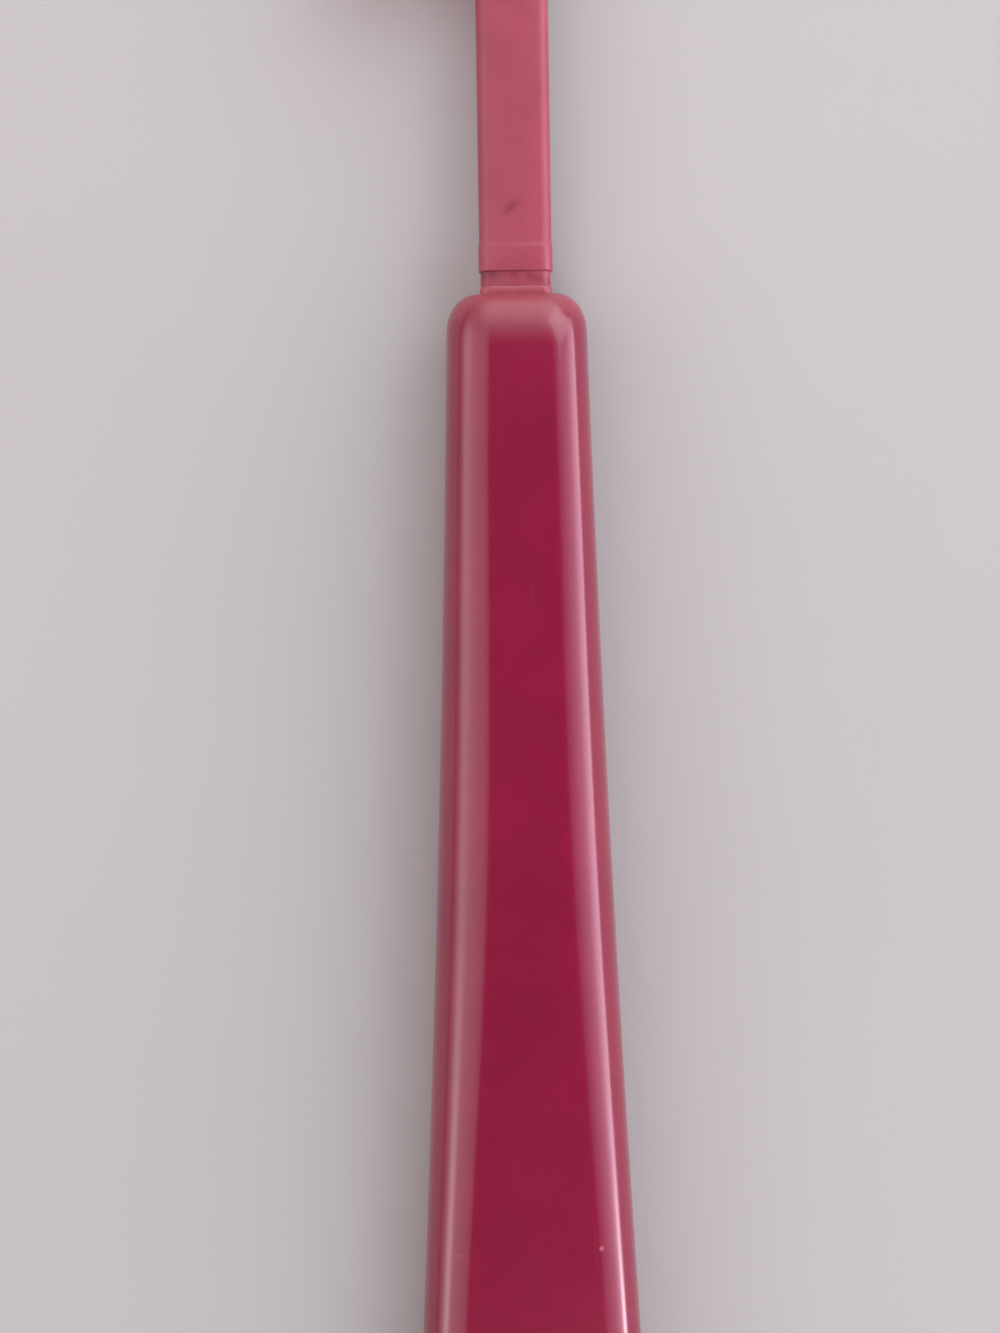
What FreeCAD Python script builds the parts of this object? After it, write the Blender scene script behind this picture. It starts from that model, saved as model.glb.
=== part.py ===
"""Eyebrow razor: a flared two-shell handle, a plugged-in neck with a blade head, and a slide-off cap.

Millimetres. +Y runs along the razor towards the blade, +Z comes out of the handle's front face, and +X is to
the right when the front is seen with the blade up. The origin is the middle of the handle's flat back.
"""

import FreeCAD
import Part

import math
import os

# Handle: plan and thickness
handle_length = 90.0
shoulder_width = 9.4
grip_width = 12.3
butt_width = 16.6
butt_bulge = 3.2
butt_corner_radius = 4.5
shoulder_thickness = 6.6
grip_thickness = 7.6
butt_thickness = 6.4
front_edge_radius = 3.0
back_edge_radius = 2.1
shoulder_edge_radius = 1.95

# Handle: the two shells and how they close on each other
wall = 1.4
seam_depth = 0.12
seam_width = 0.2
lip_thickness = 0.6
lip_height = 0.7
lip_root = 0.8
lip_clearance = 0.05
peg_diameter = 1.6
peg_clearance = 0.05
peg_boss_wall = 0.9
peg_end_gap = 0.2
seat_clearance = 0.05

# Neck: the bar above the shoulder, its stop collar, and the tang inside the handle
neck_width = 4.9
neck_thickness = 3.0
neck_length = 22.0
neck_edge_radius = 0.7
collar_height = 2.0
collar_proud = 0.08
groove_height = 0.95
groove_depth = 0.14
socket_boss_height = 0.55
tenon_inset = 0.4
tang_length = 17.0
socket_clearance = 0.05

# Blade head: the holder at the end of the neck
head_thickness = 2.8
head_edge_radius = 0.22
heel_length = 3.2
heel_slope = 2.0
heel_reach = 1.7
bay_length = 31.0
bay_corner_radius = 0.5
toe_length = 4.0
toe_spine_radius = 2.8
toe_edge_radius = 1.5
spine_wall = 0.9
pocket_clearance = 0.05

# Blade, guard, clamp plate and rivets
blade_thickness = 0.3
blade_exposure = 2.2
blade_bevel = 1.1
blade_edge_thickness = 0.06
blade_end_gap = 0.2
guard_thickness = 0.3
guard_reach = 0.4
guard_lip = 0.22
guard_pitch = 0.9
guard_slot_width = 0.45
guard_slot_depth = 1.4
plate_thickness = 1.0
plate_slope = 0.7
rivet_diameter = 1.2
rivet_head_diameter = 2.2
rivet_crown_diameter = 1.4
rivet_head_height = 0.2
rivet_clearance = 0.03

# Cap: the tinted sheath with its thumb tab
cap_gap = 0.35
cap_wall = 0.95
cap_tip_radius = 3.6
cap_edge_radius = 0.9
cap_cover = 4.2
mouth_start = 2.2
mouth_rise = 9.0
mouth_radius = 1.2
tab_reach = 4.6
tab_height = 3.2
tab_lift = 1.1
tab_blend_radius = 2.1
tab_tip_radius = 1.3
table_gap = 0.3

# Places along a piece, as shares of its length
tang_peg_shares = (0.32, 0.8)
rear_peg_shares = (-0.1, -0.36)
rivet_shares = (0.22, 0.78)

# Limits on fillets, as shares of the wall or radius that carries them
front_radius_share = 0.48
back_radius_share = 0.38
nested_radius_share = 0.95
ring_radius_share = 0.48
edge_sample_shares = (0.0, 0.25, 0.5, 0.75, 1.0)

# Cutting tools run past what they cut by this much
overrun = 1.0
match_tolerance = 0.001

# Heights
cavity_half = max(head_thickness, neck_thickness) / 2 + cap_gap
axis_height = cavity_half + cap_wall + table_gap
head_back = axis_height - head_thickness / 2
head_front = axis_height + head_thickness / 2
plate_base = head_front - plate_thickness
blade_base = plate_base - blade_thickness
guard_base = blade_base - guard_thickness

# Stations along the razor
shoulder_y = handle_length / 2
butt_y = -handle_length / 2
boss_top_y = shoulder_y + socket_boss_height
collar_base_y = boss_top_y + groove_height
collar_top_y = collar_base_y + collar_height
tang_top_y = shoulder_y - wall
tang_end_y = tang_top_y - tang_length
head_base_y = collar_top_y + neck_length
heel_top_y = head_base_y + heel_length
toe_low_y = heel_top_y + bay_length
head_tip_y = toe_low_y + toe_length
mouth_low_y = head_base_y - cap_cover
mouth_high_y = mouth_low_y + mouth_rise

# Places across the head
spine_x = neck_width / 2
bay_x = -neck_width / 2
heel_x = bay_x - heel_reach
blade_edge_x = bay_x - blade_exposure
guard_tip_x = blade_edge_x - guard_reach
pocket_x = spine_x - spine_wall
rivet_x = (bay_x + pocket_x) / 2

# Radii and sections that other pieces share
peg_radius = peg_diameter / 2
peg_boss_radius = peg_radius + peg_clearance + peg_boss_wall
tenon_width = neck_width - 2 * tenon_inset
tenon_thickness = neck_thickness - 2 * tenon_inset
tang_back = axis_height - tenon_thickness / 2
tang_front = axis_height + tenon_thickness / 2
handle_half_span = max(shoulder_width, grip_width, butt_width)
handle_depth = max(shoulder_thickness, grip_thickness, butt_thickness)
least_depth = min(shoulder_thickness, butt_thickness)
front_radius = min(front_edge_radius, front_radius_share * least_depth)
back_radius = min(back_edge_radius, back_radius_share * least_depth)
shoulder_radius = min(shoulder_edge_radius, nested_radius_share * min(front_radius, back_radius))
tang_peg_stations = [tang_top_y - share * tang_length for share in tang_peg_shares]
rear_peg_stations = [share * handle_length for share in rear_peg_shares]
rivet_stations = [heel_top_y + share * bay_length for share in rivet_shares]


def vec(x, y, z=0.0):
    return FreeCAD.Vector(x, y, z)


def block(x0, x1, y0, y1, z0, z1):
    """A box between two corners."""
    return Part.makeBox(x1 - x0, y1 - y0, z1 - z0, vec(x0, y0, z0))


def post(x, y, z0, z1, radius):
    """A round post standing along Z."""
    return Part.makeCylinder(radius, z1 - z0, vec(x, y, z0))


def edges_where(shape, test):
    """The edges of a shape whose sample points all pass a test."""
    chosen = []
    for edge in shape.Edges:
        first, last = edge.ParameterRange
        points = [edge.valueAt(first + share * (last - first)) for share in edge_sample_shares]
        if all(test(point) for point in points):
            chosen.append(edge)
    return chosen


def near(value, target):
    return abs(value - target) < match_tolerance


def rounded(shape, radius, edges):
    """The shape with edges rounded; a radius that a wall has used up leaves them sharp."""
    if radius <= match_tolerance or not edges:
        return shape
    return shape.makeFillet(radius, edges)


def rounded_outline(corners):
    """A closed plan face through (x, y, radius) corners, each rounded by an arc that its sides have room for."""
    count = len(corners)
    points = [vec(x, y) for x, y, _ in corners]
    sides = [points[(i + 1) % count] - points[i] for i in range(count)]
    half_angles = [(sides[i - 1] * -1).getAngle(sides[i]) / 2 for i in range(count)]
    reaches = [corners[i][2] / math.tan(half_angles[i]) for i in range(count)]
    room_shares = []
    for i, side in enumerate(sides):
        wanted = max(reaches[i] + reaches[(i + 1) % count], match_tolerance)
        room_shares.append(min(1.0, nested_radius_share * side.Length / wanted))
    entries, exits, arcs = [], [], []
    for i, (_, _, radius) in enumerate(corners):
        room_share = min(room_shares[i - 1], room_shares[i])
        back = (sides[i - 1] * -1).normalize()
        ahead = FreeCAD.Vector(sides[i]).normalize()
        rise = room_share * (radius / math.sin(half_angles[i]) - radius)
        middle = points[i] + (back + ahead).normalize() * rise
        entries.append(points[i] + back * (room_share * reaches[i]))
        exits.append(points[i] + ahead * (room_share * reaches[i]))
        arcs.append(Part.Arc(entries[i], middle, exits[i]) if radius > 0 else None)
    edges = []
    for i, arc in enumerate(arcs):
        if arc:
            edges.append(arc.toShape())
        edges.append(Part.LineSegment(exits[i], entries[(i + 1) % count]).toShape())
    return Part.Face(Part.Wire(edges))


def slab(face, z0, z1):
    """A plan face raised between two heights."""
    lifted = face.translated(vec(0, 0, z0))
    return lifted.extrude(vec(0, 0, z1 - z0))


def handle_plan(inset):
    """The handle's plan face, drawn in by an inset."""
    top = shoulder_y - inset
    corner = butt_y + butt_bulge + inset
    shoulder_half = shoulder_width / 2 - inset
    grip_half = grip_width / 2 - inset
    butt_half = butt_width / 2 - inset
    curves = [
        Part.Arc(vec(shoulder_half, top), vec(grip_half, 0), vec(butt_half, corner)),
        Part.Arc(vec(butt_half, corner), vec(0, butt_y + inset), vec(-butt_half, corner)),
        Part.Arc(vec(-butt_half, corner), vec(-grip_half, 0), vec(-shoulder_half, top)),
        Part.LineSegment(vec(-shoulder_half, top), vec(shoulder_half, top)),
    ]
    return Part.Face(Part.Wire([curve.toShape() for curve in curves]))


def crown_points(inset):
    """Three points of the front face's crown, seen from the side."""
    return [
        vec(0, shoulder_y - inset, shoulder_thickness - inset),
        vec(0, 0, grip_thickness - inset),
        vec(0, butt_y + inset, butt_thickness - inset),
    ]


def crown_height(y, inset=0.0):
    """Height of the front face above the back plane at a station along the handle."""
    circle = Part.Circle(*crown_points(inset))
    drop = math.sqrt(circle.Radius**2 - (y - circle.Center.y) ** 2)
    return circle.Center.z + drop


def handle_side(inset):
    """A prism across the handle, from the back plane up to the crowned front."""
    high, middle, low = crown_points(inset)
    back_high = vec(0, high.y, inset)
    back_low = vec(0, low.y, inset)
    edges = [
        Part.Arc(high, middle, low).toShape(),
        Part.LineSegment(low, back_low).toShape(),
        Part.LineSegment(back_low, back_high).toShape(),
        Part.LineSegment(back_high, high).toShape(),
    ]
    face = Part.Face(Part.Wire(edges))
    face.translate(vec(-handle_half_span, 0, 0))
    return face.extrude(vec(2 * handle_half_span, 0, 0))


def handle_solid(inset):
    """The handle's rounded outer form, or the same form drawn in by an inset."""
    top = shoulder_y - inset
    corner_y = butt_y + butt_bulge + inset
    corner_x = butt_width / 2 - inset
    body = slab(handle_plan(inset), 0.0, handle_depth).common(handle_side(inset)).removeSplitter()
    corners = edges_where(body, lambda p: near(abs(p.x), corner_x) and near(p.y, corner_y))
    body = rounded(body, butt_corner_radius - inset, corners)

    def off_shoulder(edge):
        return edge.BoundBox.YMin < top - match_tolerance

    fronts = edges_where(body, lambda p: p.z > axis_height)
    body = rounded(body, front_radius - inset, [edge for edge in fronts if off_shoulder(edge)])
    backs = edges_where(body, lambda p: near(p.z, inset))
    body = rounded(body, back_radius - inset, [edge for edge in backs if off_shoulder(edge)])
    shoulder_loop = edges_where(body, lambda p: near(p.y, top))
    return rounded(body, shoulder_radius - inset, shoulder_loop)


def seam_groove():
    """A shallow groove round the handle where its shells meet."""
    band = block(
        -handle_half_span,
        handle_half_span,
        butt_y - overrun,
        shoulder_y + overrun,
        axis_height - seam_width / 2,
        axis_height + seam_width / 2,
    )
    return band.common(handle_solid(0.0)).cut(handle_solid(seam_depth))


def half_space(z0, z1):
    """A block over the whole handle between two heights."""
    reach = 2 * handle_half_span
    return block(-reach, reach, butt_y - overrun, boss_top_y + overrun, z0, z1)


def tang_channel():
    """The way through the shoulder that the tang and tenon slide into."""
    return block(
        -tenon_width / 2 - socket_clearance,
        tenon_width / 2 + socket_clearance,
        tang_end_y - socket_clearance,
        boss_top_y + overrun,
        tang_back - socket_clearance,
        tang_front + socket_clearance,
    )


def handle_shells():
    """The handle's hollow form with its socket boss and seam, before the shells are parted."""
    boss = block(
        -neck_width / 2,
        neck_width / 2,
        tang_top_y,
        boss_top_y,
        axis_height - neck_thickness / 2,
        axis_height + neck_thickness / 2,
    )
    boss = rounded(boss, neck_edge_radius, edges_along_y(boss))
    hollow = handle_solid(0.0).fuse(boss).cut(handle_solid(wall))
    return hollow.cut(seam_groove()).cut(tang_channel())


def edges_along_y(shape):
    """The straight edges of a bar that run along the razor."""
    return [edge for edge in shape.Edges if near(edge.BoundBox.XLength + edge.BoundBox.ZLength, 0.0)]


def closing_lip():
    """A rim on the back shell that stands inside the front shell's wall."""
    outer = wall + lip_clearance
    core = slab(handle_plan(outer + lip_thickness), 0.0, handle_depth)
    rim = handle_solid(outer).common(half_space(axis_height - lip_root, axis_height + lip_height))
    root = slab(handle_plan(wall / 2), axis_height - lip_root, axis_height)
    inside = handle_solid(wall / 2)
    return rim.fuse(root.common(inside)).cut(core)


def handle_front_shell():
    """The crowned front half, with sockets for the pegs."""
    shell = handle_shells().common(half_space(axis_height, 2 * handle_depth))
    outer = handle_solid(0.0)
    seats = [(y, tang_front + seat_clearance) for y in tang_peg_stations]
    seats += [(y, axis_height + seat_clearance) for y in rear_peg_stations]
    for y, base in seats:
        boss = post(0, y, base, handle_depth, peg_boss_radius).common(outer)
        bore = post(0, y, base - overrun, crown_height(y) - wall, peg_radius + peg_clearance)
        shell = shell.fuse(boss).cut(bore)
    return shell.removeSplitter()


def handle_back_shell():
    """The flat back half, with the closing lip and the pegs that lock the tang."""
    shell = handle_shells().common(half_space(-handle_depth, axis_height))
    shell = shell.fuse(closing_lip()).cut(tang_channel())
    seats = [(y, tang_back) for y in tang_peg_stations]
    seats += [(y, axis_height) for y in rear_peg_stations]
    for y, seat in seats:
        shell = shell.fuse(post(0, y, wall / 2, seat, peg_boss_radius))
        shell = shell.fuse(post(0, y, wall / 2, crown_height(y) - wall - peg_end_gap, peg_radius))
    return shell.removeSplitter()


def bar(width, thickness, y0, y1, radius):
    """A bar along the razor's axis with rounded long edges."""
    half_width = width / 2
    half_thickness = thickness / 2
    shape = block(-half_width, half_width, y0, y1, axis_height - half_thickness, axis_height + half_thickness)
    return rounded(shape, radius, edges_along_y(shape))


def tang():
    """The plain bar that goes into the handle, with a hole for each peg."""
    shape = bar(tenon_width, tenon_thickness, tang_end_y, collar_base_y + collar_height / 2, 0.0)
    for y in tang_peg_stations:
        hole = post(0, y, tang_back - overrun, tang_front + overrun, peg_radius + peg_clearance)
        shape = shape.cut(hole)
    return shape


def head_outline():
    """The holder's plan: a straight spine, and a heel and a toe round the blade's bay."""
    return rounded_outline(
        [
            (spine_x, head_base_y - heel_slope, 0.0),
            (spine_x, head_tip_y, toe_spine_radius),
            (heel_x, head_tip_y, toe_edge_radius),
            (heel_x, toe_low_y, bay_corner_radius),
            (bay_x, toe_low_y, bay_corner_radius),
            (bay_x, heel_top_y, bay_corner_radius),
            (heel_x, heel_top_y, bay_corner_radius),
            (heel_x, head_base_y, toe_edge_radius),
            (bay_x, head_base_y - heel_slope, 0.0),
        ]
    )


def head():
    """The blade holder, with a pocket that opens to the front and to the blade's side."""
    shape = slab(head_outline(), head_back, head_front)
    rims = edges_where(shape, lambda p: near(p.z, head_back) or near(p.z, head_front))
    free_rims = [edge for edge in rims if edge.BoundBox.YMax > head_base_y - heel_slope + match_tolerance]
    radius = min(head_edge_radius, ring_radius_share * bay_corner_radius)
    shape = rounded(shape, radius, free_rims)
    pocket = block(
        guard_tip_x - overrun, pocket_x, heel_top_y, toe_low_y, guard_base, head_front + overrun
    )
    shape = shape.cut(pocket)
    for y in rivet_stations:
        shape = shape.cut(rivet_hole(y))
    return shape


def neck_stem():
    """Tang, groove, stop collar, neck and blade holder in one moulding; the groove's end sits on the boss."""
    collar = bar(
        neck_width + 2 * collar_proud,
        neck_thickness + 2 * collar_proud,
        collar_base_y,
        collar_top_y,
        neck_edge_radius + collar_proud,
    )
    groove = bar(
        neck_width - 2 * groove_depth,
        neck_thickness - 2 * groove_depth,
        boss_top_y,
        collar_top_y,
        neck_edge_radius - groove_depth,
    )
    neck = bar(neck_width, neck_thickness, collar_base_y, head_base_y, neck_edge_radius)
    return tang().fuse([groove, collar, neck, head()]).removeSplitter()


def rivet_hole(y):
    """A hole through the head's stack for one rivet."""
    return post(rivet_x, y, head_back - overrun, head_front + overrun, rivet_diameter / 2 + rivet_clearance)


def with_rivet_holes(shape):
    for y in rivet_stations:
        shape = shape.cut(rivet_hole(y))
    return shape


def stack_strip(section, end_gap):
    """A strip of the head's stack: a section of (x, z) points drawn along the bay."""
    start = heel_top_y + end_gap
    points = [vec(x, start, z) for x, z in section]
    face = Part.Face(Part.makePolygon(points + points[:1]))
    return with_rivet_holes(face.extrude(vec(0, bay_length - 2 * end_gap, 0)))


def blade():
    """A steel strip, ground from both faces to its cutting edge."""
    middle = blade_base + blade_thickness / 2
    land = blade_edge_thickness / 2
    top = blade_base + blade_thickness
    bevel_x = blade_edge_x + blade_bevel
    back_x = pocket_x - pocket_clearance
    section = [
        (blade_edge_x, middle - land),
        (bevel_x, blade_base),
        (back_x, blade_base),
        (back_x, top),
        (bevel_x, top),
        (blade_edge_x, middle + land),
    ]
    return stack_strip(section, blade_end_gap)


def skin_guard():
    """A fine comb under the blade, with teeth that turn up in front of the edge."""
    lip_top = guard_base + guard_thickness + blade_thickness
    section = [
        (guard_tip_x, guard_base),
        (pocket_x - pocket_clearance, guard_base),
        (pocket_x - pocket_clearance, blade_base),
        (guard_tip_x + guard_lip, blade_base),
        (guard_tip_x + guard_lip, lip_top),
        (guard_tip_x, lip_top),
    ]
    strip = stack_strip(section, blade_end_gap)
    count = int((bay_length - 2 * blade_end_gap) / guard_pitch)
    first_y = heel_top_y + (bay_length - (count - 1) * guard_pitch) / 2
    slots = []
    for i in range(count):
        middle_y = first_y + i * guard_pitch
        slots.append(
            block(
                guard_tip_x - overrun,
                blade_edge_x + guard_slot_depth,
                middle_y - guard_slot_width / 2,
                middle_y + guard_slot_width / 2,
                guard_base - overrun,
                lip_top + overrun,
            )
        )
    return strip.cut(slots)


def clamp_plate():
    """The cover that holds blade and guard down in the pocket, sloped towards the edge."""
    section = [
        (bay_x, plate_base),
        (pocket_x - pocket_clearance, plate_base),
        (pocket_x - pocket_clearance, head_front),
        (bay_x + plate_slope, head_front),
    ]
    return stack_strip(section, pocket_clearance)


def clamp_rivets():
    """Two rivets through the head's stack, each with a bevelled head on both faces."""
    rivets = []
    for y in rivet_stations:
        shank = post(rivet_x, y, head_back, head_front, rivet_diameter / 2)
        for z, direction in ((head_front, 1), (head_back, -1)):
            cone = Part.makeCone(
                rivet_head_diameter / 2,
                rivet_crown_diameter / 2,
                rivet_head_height,
                vec(rivet_x, y, z),
                vec(0, 0, direction),
            )
            shank = shank.fuse(cone)
        rivets.append(shank.removeSplitter())
    return Part.makeCompound(rivets)


def cap():
    """A sheath over the head, open along a slanting mouth, with a thumb tab on the blade's side."""
    inner_left = guard_tip_x - cap_gap
    inner_right = spine_x + cap_gap
    inner_tip = head_tip_y + cap_gap
    left = inner_left - cap_wall
    right = inner_right + cap_wall
    tip = inner_tip + cap_wall
    tab_x = left - tab_reach
    tab_top = mouth_low_y + tab_height
    shell = slab(
        rounded_outline(
            [
                (right, mouth_high_y, mouth_radius),
                (right, tip, cap_tip_radius),
                (left, tip, cap_tip_radius),
                (left, tab_top, tab_blend_radius),
                (tab_x, tab_top + tab_lift, tab_tip_radius),
                (tab_x, mouth_low_y + tab_lift, tab_tip_radius),
                (left + mouth_start, mouth_low_y, mouth_radius),
            ]
        ),
        axis_height - cavity_half - cap_wall,
        axis_height + cavity_half + cap_wall,
    )
    low, high = shell.BoundBox.ZMin, shell.BoundBox.ZMax
    rims = edges_where(shell, lambda p: near(p.z, low) or near(p.z, high))
    radius = min(cap_edge_radius, nested_radius_share * min(mouth_radius, tab_tip_radius))
    shell = rounded(shell, radius, rims)
    inner_tip_radius = max(cap_tip_radius - cap_wall, 0.0)
    hollow = slab(
        rounded_outline(
            [
                (inner_right, mouth_low_y - overrun, 0.0),
                (inner_right, inner_tip, inner_tip_radius),
                (inner_left, inner_tip, inner_tip_radius),
                (inner_left, mouth_low_y - overrun, 0.0),
            ]
        ),
        axis_height - cavity_half,
        axis_height + cavity_half,
    )
    return shell.cut(hollow)


pieces = {
    "handle_front_shell": handle_front_shell,
    "handle_back_shell": handle_back_shell,
    "neck_stem": neck_stem,
    "skin_guard": skin_guard,
    "blade": blade,
    "clamp_plate": clamp_plate,
    "clamp_rivets": clamp_rivets,
    "cap": cap,
}

os.makedirs("parts", exist_ok=True)
for name, make in pieces.items():
    shape = make()
    shape.exportStep(os.path.join("parts", name + ".step"))
    print(name, len(shape.Solids), "solid(s)", round(shape.Volume, 2), "mm3", shape.isValid())
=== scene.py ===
"""Looks of an eyebrow razor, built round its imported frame: meshes, finishes, stage and camera.

Metres, in the frame's axes: +Y runs towards the blade, +Z out of the handle's front, and the back lies
on z = 0.
"""

import math
from collections import namedtuple

import bmesh
import bpy
from bpy.props import FloatProperty, FloatVectorProperty, PointerProperty
from bpy.types import Operator, Panel, PropertyGroup
from mathutils import Matrix, Vector, noise


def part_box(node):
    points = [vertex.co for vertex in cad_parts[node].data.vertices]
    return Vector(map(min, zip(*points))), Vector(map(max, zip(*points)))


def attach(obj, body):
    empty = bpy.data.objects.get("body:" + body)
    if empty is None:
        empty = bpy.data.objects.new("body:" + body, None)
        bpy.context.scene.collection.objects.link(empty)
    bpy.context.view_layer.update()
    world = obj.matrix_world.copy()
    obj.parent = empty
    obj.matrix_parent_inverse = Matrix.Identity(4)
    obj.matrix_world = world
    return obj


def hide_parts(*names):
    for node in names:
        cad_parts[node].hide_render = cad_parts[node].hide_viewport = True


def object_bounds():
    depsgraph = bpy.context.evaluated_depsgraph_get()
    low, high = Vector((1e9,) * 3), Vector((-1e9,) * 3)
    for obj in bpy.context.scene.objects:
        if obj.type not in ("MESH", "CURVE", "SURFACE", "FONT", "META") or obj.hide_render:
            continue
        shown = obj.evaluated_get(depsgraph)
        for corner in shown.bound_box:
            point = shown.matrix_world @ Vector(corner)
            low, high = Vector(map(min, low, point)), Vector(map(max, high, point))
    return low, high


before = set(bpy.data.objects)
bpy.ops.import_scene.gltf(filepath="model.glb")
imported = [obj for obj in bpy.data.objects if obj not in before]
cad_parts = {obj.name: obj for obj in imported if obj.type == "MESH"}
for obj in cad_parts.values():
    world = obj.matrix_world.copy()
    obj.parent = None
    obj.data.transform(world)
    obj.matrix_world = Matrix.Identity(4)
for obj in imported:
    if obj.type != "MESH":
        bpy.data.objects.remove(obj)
cad_low, cad_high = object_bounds()

bl_info = {
    "name": "Eyebrow Razor",
    "version": (1, 0, 0),
    "blender": (4, 5, 0),
    "location": "View3D > Sidebar > Razor",
    "description": "Builds the looks of a capped eyebrow razor round its packed frame",
    "category": "Object",
}

# Places read from the frame
front_low, front_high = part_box("handle_front_shell")
stem_low, stem_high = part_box("neck_stem")
guard_low, guard_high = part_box("skin_guard")
plate_low, plate_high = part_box("clamp_plate")
rivet_low, rivet_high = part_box("clamp_rivets")
cap_low, cap_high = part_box("cap")
parting_z = front_low.z
butt_y = front_low.y
shoulder_y = -butt_y
boss_top_y = front_high.y
right_angle = math.pi / 2


def length(default, description):
    """A length property in metres."""
    kind = {"min": 0.0, "unit": "LENGTH", "subtype": "DISTANCE", "precision": 5}
    return FloatProperty(default=default, description=description, **kind)


def place(default, description):
    """A property for a place along one axis."""
    return FloatProperty(default=default, description=description, unit="LENGTH", precision=5)


def share(default, description):
    """A plain factor property."""
    kind = {"min": 0.0, "soft_max": 1.0, "subtype": "FACTOR"}
    return FloatProperty(default=default, description=description, **kind)


def tint(default, description):
    """A linear colour property."""
    kind = {"min": 0.0, "max": 1.0, "size": 3, "subtype": "COLOR"}
    return FloatVectorProperty(default=default, description=description, **kind)


class RazorHandle(PropertyGroup):
    """Sizes of the handle's two shells."""

    shoulder_width: length(0.0094, "Width of the handle at its shoulder")
    grip_width: length(0.0123, "Width of the handle halfway along")
    butt_width: length(0.0166, "Width where the sides reach the butt")
    butt_bulge: length(0.0032, "How far the butt bows out")
    butt_corner: length(0.0045, "Plan radius of the butt's corners")
    shoulder_thickness: length(0.0066, "Thickness at the shoulder")
    grip_thickness: length(0.0076, "Thickness halfway along")
    butt_thickness: length(0.0064, "Thickness at the butt")
    front_edge: length(0.003, "Radius of the front's long edges at their ends")
    grip_edge: length(0.0035, "Radius of the front's long edges at the grip")
    grip_place: length(0.006, "Where along the razor that radius is reached")
    grip_reach: length(0.034, "How far from there it is back to the front edge's")
    back_edge: length(0.0021, "Radius of the back's long edges")
    shoulder_edge: length(0.00195, "How far the shoulder's rounding comes in at its end")
    shoulder_run: length(0.00245, "How far that rounding runs along the sides")
    shoulder_fall: length(0.0037, "How far it runs along the front and back")
    wall: length(0.0014, "Thickness of the shells")
    seam_depth: length(0.00012, "Depth of the groove where the shells meet")
    seam_half: length(0.0001, "Half the width of that groove")


class RazorNeck(PropertyGroup):
    """Sizes of the neck and of the blade holder at its end."""

    width: length(0.0049, "Width of the neck")
    thickness: length(0.003, "Thickness of the neck")
    edge: length(0.0007, "Radius of the neck's long edges")
    stem_length: length(0.022, "Neck between its collar and the holder")
    collar_height: length(0.002, "Height of the stop collar")
    collar_proud: length(0.00005, "How far the collar stands out")
    collar_round: length(0.00035, "Rounding of the collar's upper rim")
    groove_height: length(0.00095, "Height of the groove under the collar")
    groove_depth: length(0.00009, "Depth of that groove")
    tenon_inset: length(0.0004, "How much smaller the tenon is than the neck")
    socket_clearance: length(0.00005, "Room round the tenon in its socket")
    tang_length: length(0.017, "Length of the tang inside the handle")
    crown: length(0.0003, "How far the neck's front falls away towards its edges")
    nick_depth: length(0.00005, "Depth of the small nick in the neck's front")
    holder_edge: length(0.00035, "Rounding of the holder's rims")
    heel_length: length(0.0032, "Holder below the blade")
    heel_slope: length(0.002, "Length of the slope that leads out to the heel")
    toe_length: length(0.004, "Holder above the blade")
    bay_corner: length(0.0005, "Corner radius of the blade's bay")
    toe_spine: length(0.0028, "Corner radius of the toe on the spine's side")
    toe_edge: length(0.0015, "Corner radius of the toe on the blade's side")
    spine_wall: length(0.0009, "Wall behind the blade's pocket")


class RazorHead(PropertyGroup):
    """Sizes of the guard, clamp plate and rivets."""

    guard_thickness: length(0.0003, "Thickness of the guard's strip")
    guard_lip: length(0.00022, "Thickness of the guard's upturned tips")
    guard_pitch: length(0.0009, "From one tooth to the next")
    guard_slot: length(0.00045, "Gap between two teeth")
    guard_reach: length(0.0018, "Length of the teeth")
    plate_slope: length(0.0007, "Width of the clamp plate's sloped side")
    plate_round: length(0.00012, "Rounding of the clamp plate's edges")
    rivet_head: length(0.0022, "Diameter of the rivets' heads")
    rivet_shank: length(0.0012, "Diameter of the rivets' shanks")


class RazorCap(PropertyGroup):
    """Sizes of the slide-off cap."""

    wall: length(0.00095, "Thickness of the cap's walls")
    tip_radius: length(0.0036, "Plan radius of the cap's tip")
    edge: length(0.0009, "Rounding of the cap's outer edges")
    inner_edge: length(0.0004, "Rounding inside the cap")
    mouth_start: length(0.0022, "From the outer wall to where the slanted mouth begins")
    mouth_rise: length(0.009, "How far the mouth rises along the cap")
    mouth_radius: length(0.0012, "Rounding of the mouth's ends")
    mouth_round: length(0.00015, "Rounding of the mouth's rim")
    tab_reach: length(0.0046, "How far the thumb tab stands out")
    tab_height: length(0.0032, "Height of the thumb tab")
    tab_lift: length(0.0011, "How far the tab's end is lifted")
    tab_blend: length(0.0021, "Radius where the tab meets the cap's wall")
    tab_tip: length(0.0013, "Rounding of the tab's end")


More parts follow.
